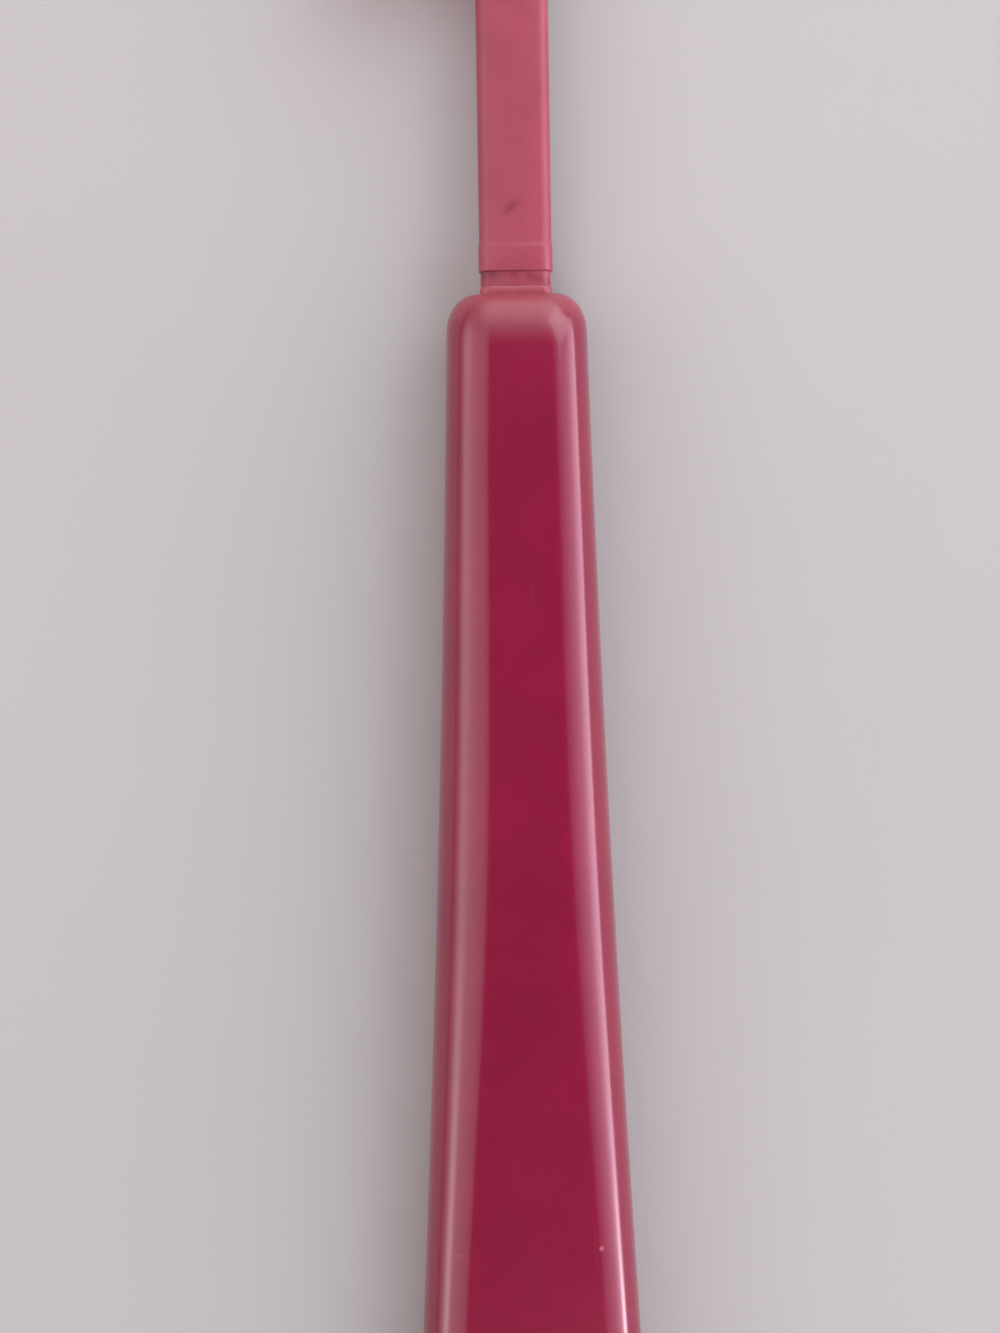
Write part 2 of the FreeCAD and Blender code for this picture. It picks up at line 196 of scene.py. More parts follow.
class RazorFinish(PropertyGroup):
    """Colours and gloss of the finishes."""

    crimson: tint((0.232, 0.0071, 0.041), "Handle plastic")
    crimson_dark: tint((0.195, 0.0056, 0.034), "Darker swirls in the handle plastic")
    satin: tint((0.34, 0.062, 0.095), "Neck and clamp plate plastic")
    satin_dark: tint((0.3, 0.05, 0.08), "Darker swirls in the satin plastic")
    # Painted highlight: the shoulder's paler colour stands in for light falling on it, where the plastic is
    # also rubbed matt
    scuffed: tint((0.375, 0.085, 0.105), "Rubbed, matt plastic at the shoulder")
    dust: tint((0.55, 0.25, 0.3), "Specks on the handle")
    # Painted shade: the dark colour put in the groove under the collar and in the nick
    grime: tint((0.13, 0.011, 0.03), "Dirt held in grooves")
    steel: tint((0.62, 0.63, 0.65), "Blade, guard and rivets")
    rose: tint((0.93, 0.42, 0.52), "Clear tint of the cap")
    gloss: share(0.16, "Roughness of the handle")
    coat: share(0.4, "Weight of the handle's clear gloss")
    satin_roughness: share(0.4, "Roughness of the neck")
    blade_roughness: share(0.24, "Roughness of the blade")
    pressed_roughness: share(0.32, "Roughness of the guard and rivets")
    # Where the shoulder's matt rub and its painted highlight set in
    scuff_reach: length(0.0023, "How far below the shoulder the rubbed plastic sets in")
    floor: tint((0.47, 0.5, 0.49), "Pale floor")


class RazorStage(PropertyGroup):
    """The camera's framing and the studio's light."""

    lens: FloatProperty(default=135.0, description="Focal length in millimetres", min=1.0)
    view_height: length(0.0901, "Height of the frame at the handle")
    view_x: place(-0.00147, "Frame's centre across the razor")
    view_y: place(0.0199, "Frame's centre along the razor")
    roll: FloatProperty(default=math.radians(0.88), description="Turn of the camera", subtype="ANGLE")
    fill: share(0.08, "Strength of the even light from all round")
    fill_tint: tint((0.86, 0.9, 1.0), "Colour of that light")
    backdrop: tint((0.6, 0.6, 0.6), "What the camera sees past the floor")
    floor_radius: length(0.55, "Radius of the round floor")
    floor_depth: length(0.02, "Thickness of the floor")
    key_size: length(0.6, "Side of the square key light")


# Mesh helpers


def circle_through(a, b, c):
    """Centre and radius of the circle through three plan points."""
    ab, ac = b - a, c - a
    cross = 2 * (ab.x * ac.y - ab.y * ac.x)
    ux = (ac.y * ab.length_squared - ab.y * ac.length_squared) / cross
    uy = (ab.x * ac.length_squared - ac.x * ab.length_squared) / cross
    return a + Vector((ux, uy)), math.hypot(ux, uy)


def circles_meet(c0, r0, c1, r1, near):
    """The point where two circles cross, the one nearer to a given point."""
    between = c1 - c0
    gap = between.length
    along = (r0**2 - r1**2 + gap**2) / (2 * gap)
    aside = math.sqrt(max(r0**2 - along**2, 0.0))
    middle = c0 + between * (along / gap)
    across = Vector((-between.y, between.x)) * (aside / gap)
    return min((middle + across, middle - across), key=lambda p: (p - near).length)


def rounded_path(corners, turn=math.radians(7)):
    """Plan points round a closed outline of (x, y, radius) corners, with arcs sampled every few degrees."""
    count = len(corners)
    points = []
    for i, (x, y, radius) in enumerate(corners):
        here = Vector((x, y))
        back = (Vector(corners[i - 1][:2]) - here).normalized()
        ahead = (Vector(corners[(i + 1) % count][:2]) - here).normalized()
        half = back.angle(ahead) / 2
        if radius <= 0:
            points.append(here)
            continue
        centre = here + (back + ahead).normalized() * (radius / math.sin(half))
        start = here + back * (radius / math.tan(half)) - centre
        sweep = math.pi - 2 * half
        sign = 1 if back.x * ahead.y - back.y * ahead.x < 0 else -1
        steps = max(2, math.ceil(sweep / turn))
        for k in range(steps + 1):
            points.append(centre + Matrix.Rotation(sign * sweep * k / steps, 2) @ start)
    return points


def split_long(points, step):
    """The closed path with long straight runs divided, so that shading stays even."""
    out = []
    for i, here in enumerate(points):
        ahead = points[(i + 1) % len(points)]
        parts = max(1, round((ahead - here).length / step))
        out += [here.lerp(ahead, k / parts) for k in range(parts)]
    return out


def outward_normals(points):
    """Outward directions at the points of an anticlockwise path."""
    found = []
    for i, here in enumerate(points):
        before = (here - points[i - 1]).normalized()
        after = (points[(i + 1) % len(points)] - here).normalized()
        along = before + after
        found.append(Vector((along.y, -along.x)).normalized())
    return found


def finish_mesh(name, bm, merge=1e-7):
    """A tidy closed mesh from a bmesh: doubles merged, faces turned outwards, creases kept sharp."""
    bmesh.ops.remove_doubles(bm, verts=bm.verts, dist=merge)
    bmesh.ops.dissolve_degenerate(bm, edges=bm.edges, dist=merge)
    bmesh.ops.recalc_face_normals(bm, faces=bm.faces)
    if bm.calc_volume(signed=True) < 0:
        bmesh.ops.reverse_faces(bm, faces=bm.faces)
    mesh = bpy.data.meshes.new(name)
    bm.to_mesh(mesh)
    bm.free()
    smooth_by_angle(mesh)
    return mesh


def smooth_by_angle(mesh, angle=math.radians(38)):
    """Smooth shading that breaks at real edges."""
    mesh.shade_smooth()
    mesh.set_sharp_from_angle(angle=angle)


def skin(bm, rings, closed=True):
    """Quads between neighbouring rings of points; gives back the rings' vertices."""
    made = [[bm.verts.new(point) for point in ring] for ring in rings]
    for low, high in zip(made, made[1:]):
        last = len(low) if closed else len(low) - 1
        for j in range(last):
            k = (j + 1) % len(low)
            bm.faces.new((low[j], low[k], high[k], high[j]))
    return made


def plate_mesh(name, outline, low, high, rounding, steps=6):
    """A closed plate over a plan outline, with rounded rims."""
    normals = outward_normals(outline)
    rims = [(rounding * (1 - math.sin(a)), rounding * (1 - math.cos(a))) for a in arc_steps(steps)]
    levels = [(inset, low + rise) for inset, rise in rims]
    levels += [(inset, high - rise) for inset, rise in reversed(rims)]
    rings = []
    for inset, z in levels:
        rings.append([Vector((*(p - n * inset), z)) for p, n in zip(outline, normals)])
    bm = bmesh.new()
    made = skin(bm, rings)
    bm.faces.new(reversed(made[0]))
    bm.faces.new(made[-1])
    return finish_mesh(name, bm)


def arc_steps(count):
    """Even angles over a right angle, ends included."""
    return [right_angle * k / count for k in range(count + 1)]


def temporary(mesh):
    """An object that carries a mesh while modifiers act on it."""
    made = bpy.data.objects.new("temporary", mesh)
    bpy.context.scene.collection.objects.link(made)
    return made


def modified(body, *tools):
    """A plain mesh of a temporary object with its modifiers applied; it and its tools are used up."""
    bpy.context.view_layer.update()
    graph = bpy.context.evaluated_depsgraph_get()
    result = bpy.data.meshes.new_from_object(body.evaluated_get(graph), depsgraph=graph)
    bpy.data.objects.remove(body)
    for tool in tools:
        used = tool.data
        bpy.data.objects.remove(tool)
        bpy.data.meshes.remove(used)
    smooth_by_angle(result)
    return result


def carved(mesh, tool, operation):
    """The mesh joined with, or cut by, a tool mesh; the tool is used up."""
    body, cutter = temporary(mesh), temporary(tool)
    modifier = body.modifiers.new("carve", "BOOLEAN")
    modifier.operation = operation
    modifier.object = cutter
    modifier.solver = "EXACT"
    return modified(body, cutter)


def bevelled(mesh, width, segments=2, angle=math.radians(40)):
    """The mesh with its sharp edges rounded."""
    body = temporary(mesh)
    modifier = body.modifiers.new("soften", "BEVEL")
    modifier.width = width
    modifier.segments = segments
    modifier.limit_method = "ANGLE"
    modifier.angle_limit = angle
    return modified(body)


def prism(name, section, low_y, high_y):
    """A section of (x, z) points drawn along Y."""
    bm = bmesh.new()
    made = skin(bm, [[Vector((x, y, z)) for x, z in section] for y in (low_y, high_y)])
    bm.faces.new(made[0])
    bm.faces.new(reversed(made[-1]))
    return finish_mesh(name, bm)


def lathed(name, profile, middle_x, sides=40):
    """A profile of (radius, z) points, from axis to axis, turned about an upright line."""
    rings = []
    for k in range(sides):
        turn = math.tau * k / sides
        rings.append([Vector((middle_x + r * math.cos(turn), r * math.sin(turn), z)) for r, z in profile])
    bm = bmesh.new()
    skin(bm, rings + rings[:1], closed=False)
    return finish_mesh(name, bm)


def join_meshes(name, meshes):
    """Several meshes as one; the parts are used up."""
    bm = bmesh.new()
    for mesh in meshes:
        bm.from_mesh(mesh)
        bpy.data.meshes.remove(mesh)
    joined = bpy.data.meshes.new(name)
    bm.to_mesh(joined)
    bm.free()
    return joined


def repeat_tree():
    """Geometry nodes that set an item out in a row, beside the mesh they are given; made once."""
    found = bpy.data.node_groups.get("Row of Items")
    if found:
        return found
    tree = bpy.data.node_groups.new("Row of Items", "GeometryNodeTree")
    tree.is_modifier = True
    for name, kind in (
        ("Geometry", "Geometry"),
        ("Item", "Object"),
        ("Count", "Int"),
        ("Start", "Vector"),
        ("Step", "Vector"),
        ("Material", "Material"),
    ):
        tree.interface.new_socket(name, in_out="INPUT", socket_type=f"NodeSocket{kind}")
    tree.interface.new_socket("Geometry", in_out="OUTPUT", socket_type="NodeSocketGeometry")
    start = tree.nodes.new("NodeGroupInput").outputs
    row = {"Count": start["Count"], "Start Location": start["Start"], "Offset": start["Step"]}
    line = add_node(tree, "GeometryNodeMeshLine", row, mode="OFFSET")
    item = add_node(tree, "GeometryNodeObjectInfo", {"Object": start["Item"], "As Instance": True})
    placing = {"Points": line.outputs["Mesh"], "Instance": item.outputs["Geometry"]}
    placed = add_node(tree, "GeometryNodeInstanceOnPoints", placing)
    joined = add_node(tree, "GeometryNodeJoinGeometry", {"Geometry": start["Geometry"]})
    tree.links.new(placed.outputs[0], joined.inputs["Geometry"])
    real = add_node(tree, "GeometryNodeRealizeInstances", {"Geometry": joined.outputs[0]})
    painting = {"Geometry": real.outputs[0], "Material": start["Material"]}
    painted = add_node(tree, "GeometryNodeSetMaterial", painting)
    end = tree.nodes.new("NodeGroupOutput")
    tree.links.new(painted.outputs[0], end.inputs["Geometry"])
    return tree


def in_a_row(base, item, material, count, start, step):
    """The base mesh with an item set out in a row, as one plain mesh; the item is used up."""
    tree = repeat_tree()
    body, sample = temporary(base), temporary(item)
    modifier = body.modifiers.new("row", "NODES")
    modifier.node_group = tree
    values = {"Item": sample, "Count": count, "Start": start, "Step": step, "Material": material}
    for socket in tree.interface.items_tree:
        if socket.in_out == "INPUT" and socket.name in values:
            modifier[socket.identifier] = values[socket.name]
    return modified(body, sample)


def box_outline(low_x, high_x, low_y, high_y):
    """Corners of a plan rectangle, anticlockwise."""
    return [Vector(c) for c in ((low_x, low_y), (high_x, low_y), (high_x, high_y), (low_x, high_y))]


def add_piece(name, mesh, body, slot, material, *nodes):
    """A finished piece: its material, the body it rides on, and the frame's nodes that it stands for."""
    piece = bpy.data.objects.new(name, mesh)
    bpy.context.scene.collection.objects.link(piece)
    mesh.materials.clear()
    mesh.materials.append(material)
    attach(piece, body)
    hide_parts(*nodes)
    return piece


# Shader helpers


def set_sockets(tree, made, sockets):
    """Fill a node's sockets: a plain value is set, and another node's socket is linked."""
    for key, value in sockets.items():
        if isinstance(value, bpy.types.NodeSocket):
            tree.links.new(value, made.inputs[key])
        else:
            made.inputs[key].default_value = value


def add_node(tree, kind, sockets=None, **settings):
    """A node with its settings and sockets."""
    made = tree.nodes.new(kind)
    for key, value in settings.items():
        setattr(made, key, value)
    set_sockets(tree, made, sockets or {})
    return made


def maths(tree, operation, a, b=0.5, c=0.0, clamp=False):
    """The result of a Math node."""
    sockets = {0: a, 1: b, 2: c}
    return add_node(tree, "ShaderNodeMath", sockets, operation=operation, use_clamp=clamp).outputs[0]


def spread(tree, value, low, high, to_low=0.0, to_high=1.0):
    """A value moved from one range to another, held to its ends."""
    sockets = {0: value, 1: low, 2: high, 3: to_low, 4: to_high}
    return add_node(tree, "ShaderNodeMapRange", sockets, clamp=True).outputs[0]


def blend_colours(tree, factor, a, b):
    """A colour between two."""
    colours = {6: a if isinstance(a, bpy.types.NodeSocket) else (*a, 1.0)}
    colours[7] = b if isinstance(b, bpy.types.NodeSocket) else (*b, 1.0)
    return add_node(tree, "ShaderNodeMix", {0: factor, **colours}, data_type="RGBA").outputs[2]


def noise_value(tree, vector, scale, detail=2.0, roughness=0.5):
    """Smooth noise from 0 to 1."""
    sockets = {"Vector": vector, "Scale": scale, "Detail": detail, "Roughness": roughness}
    return add_node(tree, "ShaderNodeTexNoise", sockets).outputs[0]


def stretched(tree, vector, scale, turn=0.0):
    """Coordinates scaled unevenly and turned about Z."""
    sockets = {"Vector": vector, "Rotation": (0.0, 0.0, turn), "Scale": scale}
    return add_node(tree, "ShaderNodeMapping", sockets).outputs[0]


def shader_group(name, inputs, outputs, fill):
    """A node group with float inputs and outputs, made once."""
    tree = bpy.data.node_groups.new(name, "ShaderNodeTree")
    tree.interface.new_socket("Vector", in_out="INPUT", socket_type="NodeSocketVector")
    for socket, default in inputs.items():
        made = tree.interface.new_socket(socket, in_out="INPUT", socket_type="NodeSocketFloat")
        made.default_value = default
    for socket in outputs:
        tree.interface.new_socket(socket, in_out="OUTPUT", socket_type="NodeSocketFloat")
    start = tree.nodes.new("NodeGroupInput").outputs
    end = tree.nodes.new("NodeGroupOutput")
    for socket, value in fill(tree, start).items():
        tree.links.new(value, end.inputs[socket])
    return tree


# Noise is stretched by its repeats per metre along X, Y and Z. Hairlines also have a turn about Z
hairlines = ((0.09, (2600.0, 60.0, 900.0)), (-0.5, (2100.0, 75.0, 700.0)))
# The scuff's streaks and patches shape one mask that makes the shoulder matt and paints a highlight on it
scuff_streaks = (1500.0, 220.0, 1500.0)
fine_grinding, broad_grinding = (300.0, 9000.0, 9000.0), (120.0, 900.0, 900.0)
hairline_patches, scuff_patches = 180.0, 1900.0
# The ranges of the noise that effects are drawn from
swirl_range, grain_range = (0.32, 0.68), (0.3, 0.7)
hairline_range, patch_range = (0.69, 0.74), (0.48, 0.62)
speck_range, scuff_range = (0.03, 0.085), (0.25, 0.6)
scuff_easing = {"From Min": 0.1, "From Max": 1.35}
grain_in_peel, thinnest_scuff = 0.35, 0.72


def moulded_skin(tree, start):
    """Faint swirls and orange peel of a moulding."""
    swirl = noise_value(tree, start["Vector"], start["Swirl scale"], 4.0, 0.6)
    peel = noise_value(tree, start["Vector"], start["Peel scale"], 2.0, 0.5)
    fine = noise_value(tree, start["Vector"], start["Grain scale"], 3.0, 0.7)
    height = maths(tree, "MULTIPLY_ADD", fine, grain_in_peel, peel)
    wave = noise_value(tree, start["Vector"], start["Wave scale"], 1.0, 0.5)
    return {"Swirl": spread(tree, swirl, *swirl_range), "Height": height, "Grain": fine, "Wave": wave}


def handling_marks(tree, start):
    """Hairline scratches along and across the piece, broken up so that they come and go."""
    marks = None
    for turn, stretch in hairlines:
        lines = noise_value(tree, stretched(tree, start["Vector"], stretch, turn), 1.0, 2.0, 0.5)
        hair = spread(tree, lines, *hairline_range)
        marks = hair if marks is None else maths(tree, "MAXIMUM", marks, hair)
    patches = spread(tree, noise_value(tree, start["Vector"], hairline_patches), *patch_range)
    mask = maths(tree, "MULTIPLY", marks, patches)
    return {"Mask": maths(tree, "MULTIPLY", mask, start["Amount"], clamp=True)}


def dust_specks(tree, start):
    """Sparse small specks."""
    sockets = {"Vector": start["Vector"], "Scale": start["Scale"]}
    cells = add_node(tree, "ShaderNodeTexVoronoi", sockets)
    dot = spread(tree, cells.outputs["Distance"], *speck_range, 1.0, 0.0)
    channels = add_node(tree, "ShaderNodeSeparateColor", {0: cells.outputs["Color"]})
    chosen = maths(tree, "GREATER_THAN", channels.outputs[0], start["Rarity"])
    return {"Mask": maths(tree, "MULTIPLY", dot, chosen)}


def lit_scuffed_end(tree, start):
    """A mask for a rubbed, matt end that also carries a painted highlight: it sets in along +Y with a
    streaky border and grows from there.
    """
    along = add_node(tree, "ShaderNodeSeparateXYZ", {0: start["Vector"]}).outputs[1]
    streaks = noise_value(tree, stretched(tree, start["Vector"], scuff_streaks), 1.0, 3.0, 0.6)
    shifted = maths(tree, "MULTIPLY_ADD", streaks, start["Streak"], along)
    beyond = maths(tree, "SUBTRACT", shifted, start["Start"])
    zone = maths(tree, "DIVIDE", beyond, start["Fade"])
    easing = {"Value": zone, **scuff_easing}
    eased = add_node(tree, "ShaderNodeMapRange", easing, interpolation_type="SMOOTHSTEP").outputs[0]
    patches = noise_value(tree, start["Vector"], scuff_patches, 3.0, 0.6)
    patchy = spread(tree, patches, *scuff_range, thinnest_scuff, 1.0)
    return {"Mask": maths(tree, "MULTIPLY", eased, patchy)}


def ground_lines(tree, start):
    """Fine lines left by grinding, across the piece."""
    lines = noise_value(tree, stretched(tree, start["Vector"], fine_grinding), 1.0, 3.0, 0.6)
    broad = noise_value(tree, stretched(tree, start["Vector"], broad_grinding), 1.0, 2.0, 0.5)
    return {"Lines": lines, "Broad": broad}


group_plans = {
    "Moulded Skin": (
        {"Swirl scale": 160.0, "Peel scale": 700.0, "Grain scale": 5200.0, "Wave scale": 130.0},
        ("Swirl", "Height", "Grain", "Wave"),
        moulded_skin,
    ),
    "Handling Marks": ({"Amount": 1.0}, ("Mask",), handling_marks),
    "Dust Specks": ({"Scale": 420.0, "Rarity": 0.9}, ("Mask",), dust_specks),
    "Scuffed End": ({"Start": 0.0, "Fade": 0.0022, "Streak": 0.0009}, ("Mask",), lit_scuffed_end),
    "Ground Lines": ({}, ("Lines", "Broad"), ground_lines),
}


def use_group(tree, name, sockets=None):
    """A shared effect placed in a material, reading the piece's own coordinates."""
    group = bpy.data.node_groups.get(name) or shader_group(name, *group_plans[name])
    sockets = {"Vector": add_node(tree, "ShaderNodeTexCoord").outputs["Object"], **(sockets or {})}
    return add_node(tree, "ShaderNodeGroup", sockets, node_tree=group).outputs


def new_material(name):
    """An empty material: its tree and its shader."""
    material = bpy.data.materials.new(name)
    material.use_nodes = True
    return material, material.node_tree, material.node_tree.nodes["Principled BSDF"]


def relief(tree, height, strength, distance):
    """A normal with fine relief in it."""
    sockets = {"Height": height, "Strength": strength, "Distance": distance}
    return add_node(tree, "ShaderNodeBump", sockets).outputs[0]


# What hairlines, dust and scuffs add to the roughness, and how far dust, grain and the scuff's painted
# highlight tint the gloss
mark_roughness, dust_roughness, scuff_roughness, satin_mark_roughness = 0.16, 0.4, 0.24, 0.08
dust_tinting, scuff_highlight_tinting, grain_tinting = 0.45, 0.75, 0.7
scuffed_coat, mark_depth, fine_in_wave = 0.05, 0.3, 0.05
# How far roughness strays to either side, and how much darker or paler the second shade is
satin_stray, steel_stray = (-0.05, 0.06), (-0.07, 0.1)
clear_roughness, marked_clear_roughness = 0.05, 0.2
steel_shade, rose_shade, floor_shade = 0.78, 1.04, 0.97
# The relief of each material, as a strength and a distance
gloss_relief, satin_relief, steel_relief = (1.0, 0.00004), (0.12, 0.00003), (0.15, 0.00001)
clear_relief, floor_relief = (0.06, 0.00004), (0.05, 0.00005)


def crimson_gloss(finish):
    """Glossy crimson plastic with faint swirls, hairlines and dust, rubbed matt at the shoulder, where a
    paler colour is a painted highlight.
    """
    material, tree, shader = new_material("gloss_plastic")
    moulded = use_group(tree, "Moulded Skin")
    marks = use_group(tree, "Handling Marks", {"Amount": 0.5})["Mask"]
    dust = use_group(tree, "Dust Specks")["Mask"]
    # The shoulder's scuff: matt, and paler in colour as a painted highlight
    scuff_and_highlight = use_group(tree, "Scuffed End", {"Start": shoulder_y - finish.scuff_reach})["Mask"]
    grain = spread(tree, moulded["Grain"], *grain_range, -0.5, 0.5)
    mottle = maths(tree, "MULTIPLY_ADD", grain, grain_tinting, moulded["Swirl"], clamp=True)
    base = blend_colours(tree, mottle, finish.crimson_dark, finish.crimson)
    rubbed_and_lit = blend_colours(tree, maths(tree, "MULTIPLY", scuff_and_highlight, scuff_highlight_tinting), base, finish.scuffed)
    marked = maths(tree, "MULTIPLY_ADD", marks, mark_roughness, finish.gloss)
    dusty = maths(tree, "MULTIPLY_ADD", dust, dust_roughness, marked)
    fine = maths(tree, "SUBTRACT", moulded["Height"], maths(tree, "MULTIPLY", marks, mark_depth))
    height = maths(tree, "MULTIPLY_ADD", fine, fine_in_wave, moulded["Wave"])
    sockets = {
        "Base Color": blend_colours(tree, maths(tree, "MULTIPLY", dust, dust_tinting), rubbed_and_lit, finish.dust),
        "Roughness": maths(tree, "MULTIPLY_ADD", scuff_and_highlight, scuff_roughness, dusty),
        "Coat Weight": spread(tree, scuff_and_highlight, 0.0, 1.0, finish.coat, scuffed_coat),
        "Coat Roughness": 0.09,
        "IOR": 1.55,
        "Normal": relief(tree, height, *gloss_relief),
    }
    set_sockets(tree, shader, sockets)
    return material


def crimson_satin(finish):
    """Satin red plastic with a fine moulded grain; painted shade darkens the groove under the collar and the
    nick.
    """
    material, tree, shader = new_material("satin_plastic")
    moulded = use_group(tree, "Moulded Skin", {"Swirl scale": 260.0, "Peel scale": 1500.0})
    marks = use_group(tree, "Handling Marks", {"Amount": 0.7})["Mask"]
    base = blend_colours(tree, moulded["Swirl"], finish.satin_dark, finish.satin)
    # Painted shade in the groove and the nick, stored on the neck's points
    grime = add_node(tree, "ShaderNodeAttribute", attribute_name="grime").outputs["Fac"]
    roughness = [finish.satin_roughness + stray for stray in satin_stray]
    grain = spread(tree, moulded["Grain"], *grain_range, *roughness)
    sockets = {
        "Base Color": blend_colours(tree, grime, base, finish.grime),
        "Roughness": maths(tree, "MULTIPLY_ADD", marks, satin_mark_roughness, grain),
        "IOR": 1.5,
        "Normal": relief(tree, moulded["Height"], *satin_relief),
    }
    set_sockets(tree, shader, sockets)
    return material


def satin_material(scene):
    """The satin plastic, made once."""
    return bpy.data.materials.get("satin_plastic") or crimson_satin(scene.razor_finish)


def ground_steel(finish, name, roughness):
    """Ground steel: fine lines, slightly uneven sheen."""
    material, tree, shader = new_material(name)
    lines = use_group(tree, "Ground Lines")
    dark = tuple(steel_shade * c for c in finish.steel)
    roughnesses = [roughness + stray for stray in steel_stray]
    sockets = {
        "Base Color": blend_colours(tree, lines["Broad"], dark, finish.steel),
        "Roughness": spread(tree, lines["Lines"], *grain_range, *roughnesses),
        "Metallic": 1.0,
        "Normal": relief(tree, lines["Lines"], *steel_relief),
    }
    set_sockets(tree, shader, sockets)
    return material


def pressed_steel(scene):
    """The guard's and rivets' steel, made once."""
    finish, name = scene.razor_finish, "pressed_steel"
    return bpy.data.materials.get(name) or ground_steel(finish, name, finish.pressed_roughness)


def rose_clear(finish):
    """Clear plastic with a rose tint, hairlines and faint flow marks."""
    material, tree, shader = new_material("rose_clear")
    moulded = use_group(tree, "Moulded Skin", {"Swirl scale": 120.0, "Peel scale": 500.0})
    marks = use_group(tree, "Handling Marks", {"Amount": 0.8})["Mask"]
    pale = tuple(min(1.0, rose_shade * c) for c in finish.rose)
    sockets = {
        "Base Color": blend_colours(tree, moulded["Swirl"], finish.rose, pale),
        "Roughness": spread(tree, marks, 0.0, 1.0, clear_roughness, marked_clear_roughness),
        "Transmission Weight": 1.0,
        "IOR": 1.49,
        "Normal": relief(tree, moulded["Height"], *clear_relief),
    }
    set_sockets(tree, shader, sockets)
    return material


def pale_paper(finish):
    """Plain pale floor with a faint grain."""
    material, tree, shader = new_material("pale_floor")
    scales = {"Swirl scale": 14.0, "Peel scale": 900.0, "Grain scale": 3000.0}
    moulded = use_group(tree, "Moulded Skin", scales)
    shade = tuple(floor_shade * c for c in finish.floor)
    sockets = {
        "Base Color": blend_colours(tree, moulded["Swirl"], shade, finish.floor),
        "Roughness": 0.75,
        "Normal": relief(tree, moulded["Height"], *floor_relief),
    }
    set_sockets(tree, shader, sockets)
    return material


# The handle's shells


class HandleForm:
    """The handle's outer form, worked out from its sizes."""

    def __init__(self, sizes):
        self.sizes = sizes
        low_corner = Vector((sizes.butt_width / 2, butt_y + sizes.butt_bulge))
        shoulder = Vector((sizes.shoulder_width / 2, shoulder_y))
        grip = Vector((sizes.grip_width / 2, 0.0))
        self.side_centre, self.side_radius = circle_through(shoulder, grip, low_corner)
        mirrored = Vector((-low_corner.x, low_corner.y))
        self.butt_centre, self.butt_radius = circle_through(low_corner, Vector((0.0, butt_y)), mirrored)
        outside, inside = self.side_radius + sizes.butt_corner, self.butt_radius - sizes.butt_corner
        self.corner_centre = circles_meet(self.side_centre, outside, self.butt_centre, inside, low_corner)
        self.crown_centre, self.crown_radius = circle_through(
            Vector((shoulder_y, sizes.shoulder_thickness)),
            Vector((0.0, sizes.grip_thickness)),
            Vector((butt_y, sizes.butt_thickness)),
        )

    def half_width(self, y):
        """Half the plan width at a station; the sides bow inwards."""
        return self.side_centre.x - math.sqrt(self.side_radius**2 - (y - self.side_centre.y) ** 2)

    def crown(self, y):
        """Height of the front face at a station."""
        return self.crown_centre.y + math.sqrt(self.crown_radius**2 - (y - self.crown_centre.x) ** 2)

    def front_edge(self, y):
        """Radius of the front's long edges at a station; they are rounder at the grip."""
        sizes = self.sizes
        away = min(abs(y - sizes.grip_place) / sizes.grip_reach, 1.0)
        return sizes.front_edge + (sizes.grip_edge - sizes.front_edge) * math.cos(right_angle * away) ** 2

    def stations(self, side_count=72, corner_count=20, butt_count=14):
        """Plan points with outward directions, from the butt's middle up the right side."""
        to_side = (self.corner_centre - self.side_centre).normalized()
        to_butt = (self.corner_centre - self.butt_centre).normalized()
        meets_side = self.side_centre + to_side * self.side_radius
        found = []
        for k in range(butt_count):
            turned = Vector((0.0, -1.0)).lerp(to_butt, k / butt_count).normalized()
            found.append((self.butt_centre + turned * self.butt_radius, turned))
        sweep = to_butt.angle(-to_side)
        for k in range(corner_count):
            turned = Matrix.Rotation(sweep * k / corner_count, 2) @ to_butt
            found.append((self.corner_centre + turned * self.sizes.butt_corner, turned))
        top = shoulder_y - self.sizes.shoulder_fall
        for k in range(side_count + 1):
            y = meets_side.y + (top - meets_side.y) * k / side_count
            lean = -to_side.y * (1 - k / side_count)
            outward = Vector((1.0, lean)).normalized()
            found.append((Vector((self.half_width(y), y)), outward))
        return found


def half_ring(plan, outward, height, edge, shrink, seam, side, counts=(9, 16, 4)):
    """Right half of one ring: from the middle of the face, round its edge, down the wall to the parting."""
    flat_count, arc_count, wall_count = counts
    inner = plan - outward * edge
    radius = max(edge - shrink, 0.0)
    points = [(inner.x * k / flat_count, inner.y, height - shrink) for k in range(flat_count)]
    for a in arc_steps(arc_count):
        spot = plan - outward * (edge - radius * math.sin(a))
        points.append((spot.x, spot.y, height - shrink - radius * (1 - math.cos(a))))
    seam_depth, seam_half = seam
    wall_top = height - shrink - radius
    wall_low = 2 * seam_half
    wall = plan - outward * shrink
    for k in range(1, wall_count + 1):
        points.append((wall.x, wall.y, wall_top + (wall_low - wall_top) * k / wall_count))
    sunk = plan - outward * (shrink + seam_depth)
    points += [(sunk.x, sunk.y, seam_half), (sunk.x, sunk.y, 0.0)]
    return [Vector((x, y, parting_z + side * h)) for x, y, h in points]


def whole_ring(half):
    """A ring from its right half: left parting, over the face, right parting."""
    left = [Vector((-p.x, p.y, p.z)) for p in reversed(half[1:])]
    return left + half


def rounded_in(distance, run, depth):
    """How far an elliptical rounding has come in at a distance from its end."""
    share_run = max(1 - distance / run, 0.0)
    return depth * (1 - math.sqrt(1 - share_run**2))


# How many rings the shoulder and the boss are drawn with, and the boss's lean as a share of its height
shoulder_steps, boss_steps, boss_lean_share = 18, 8, 0.25


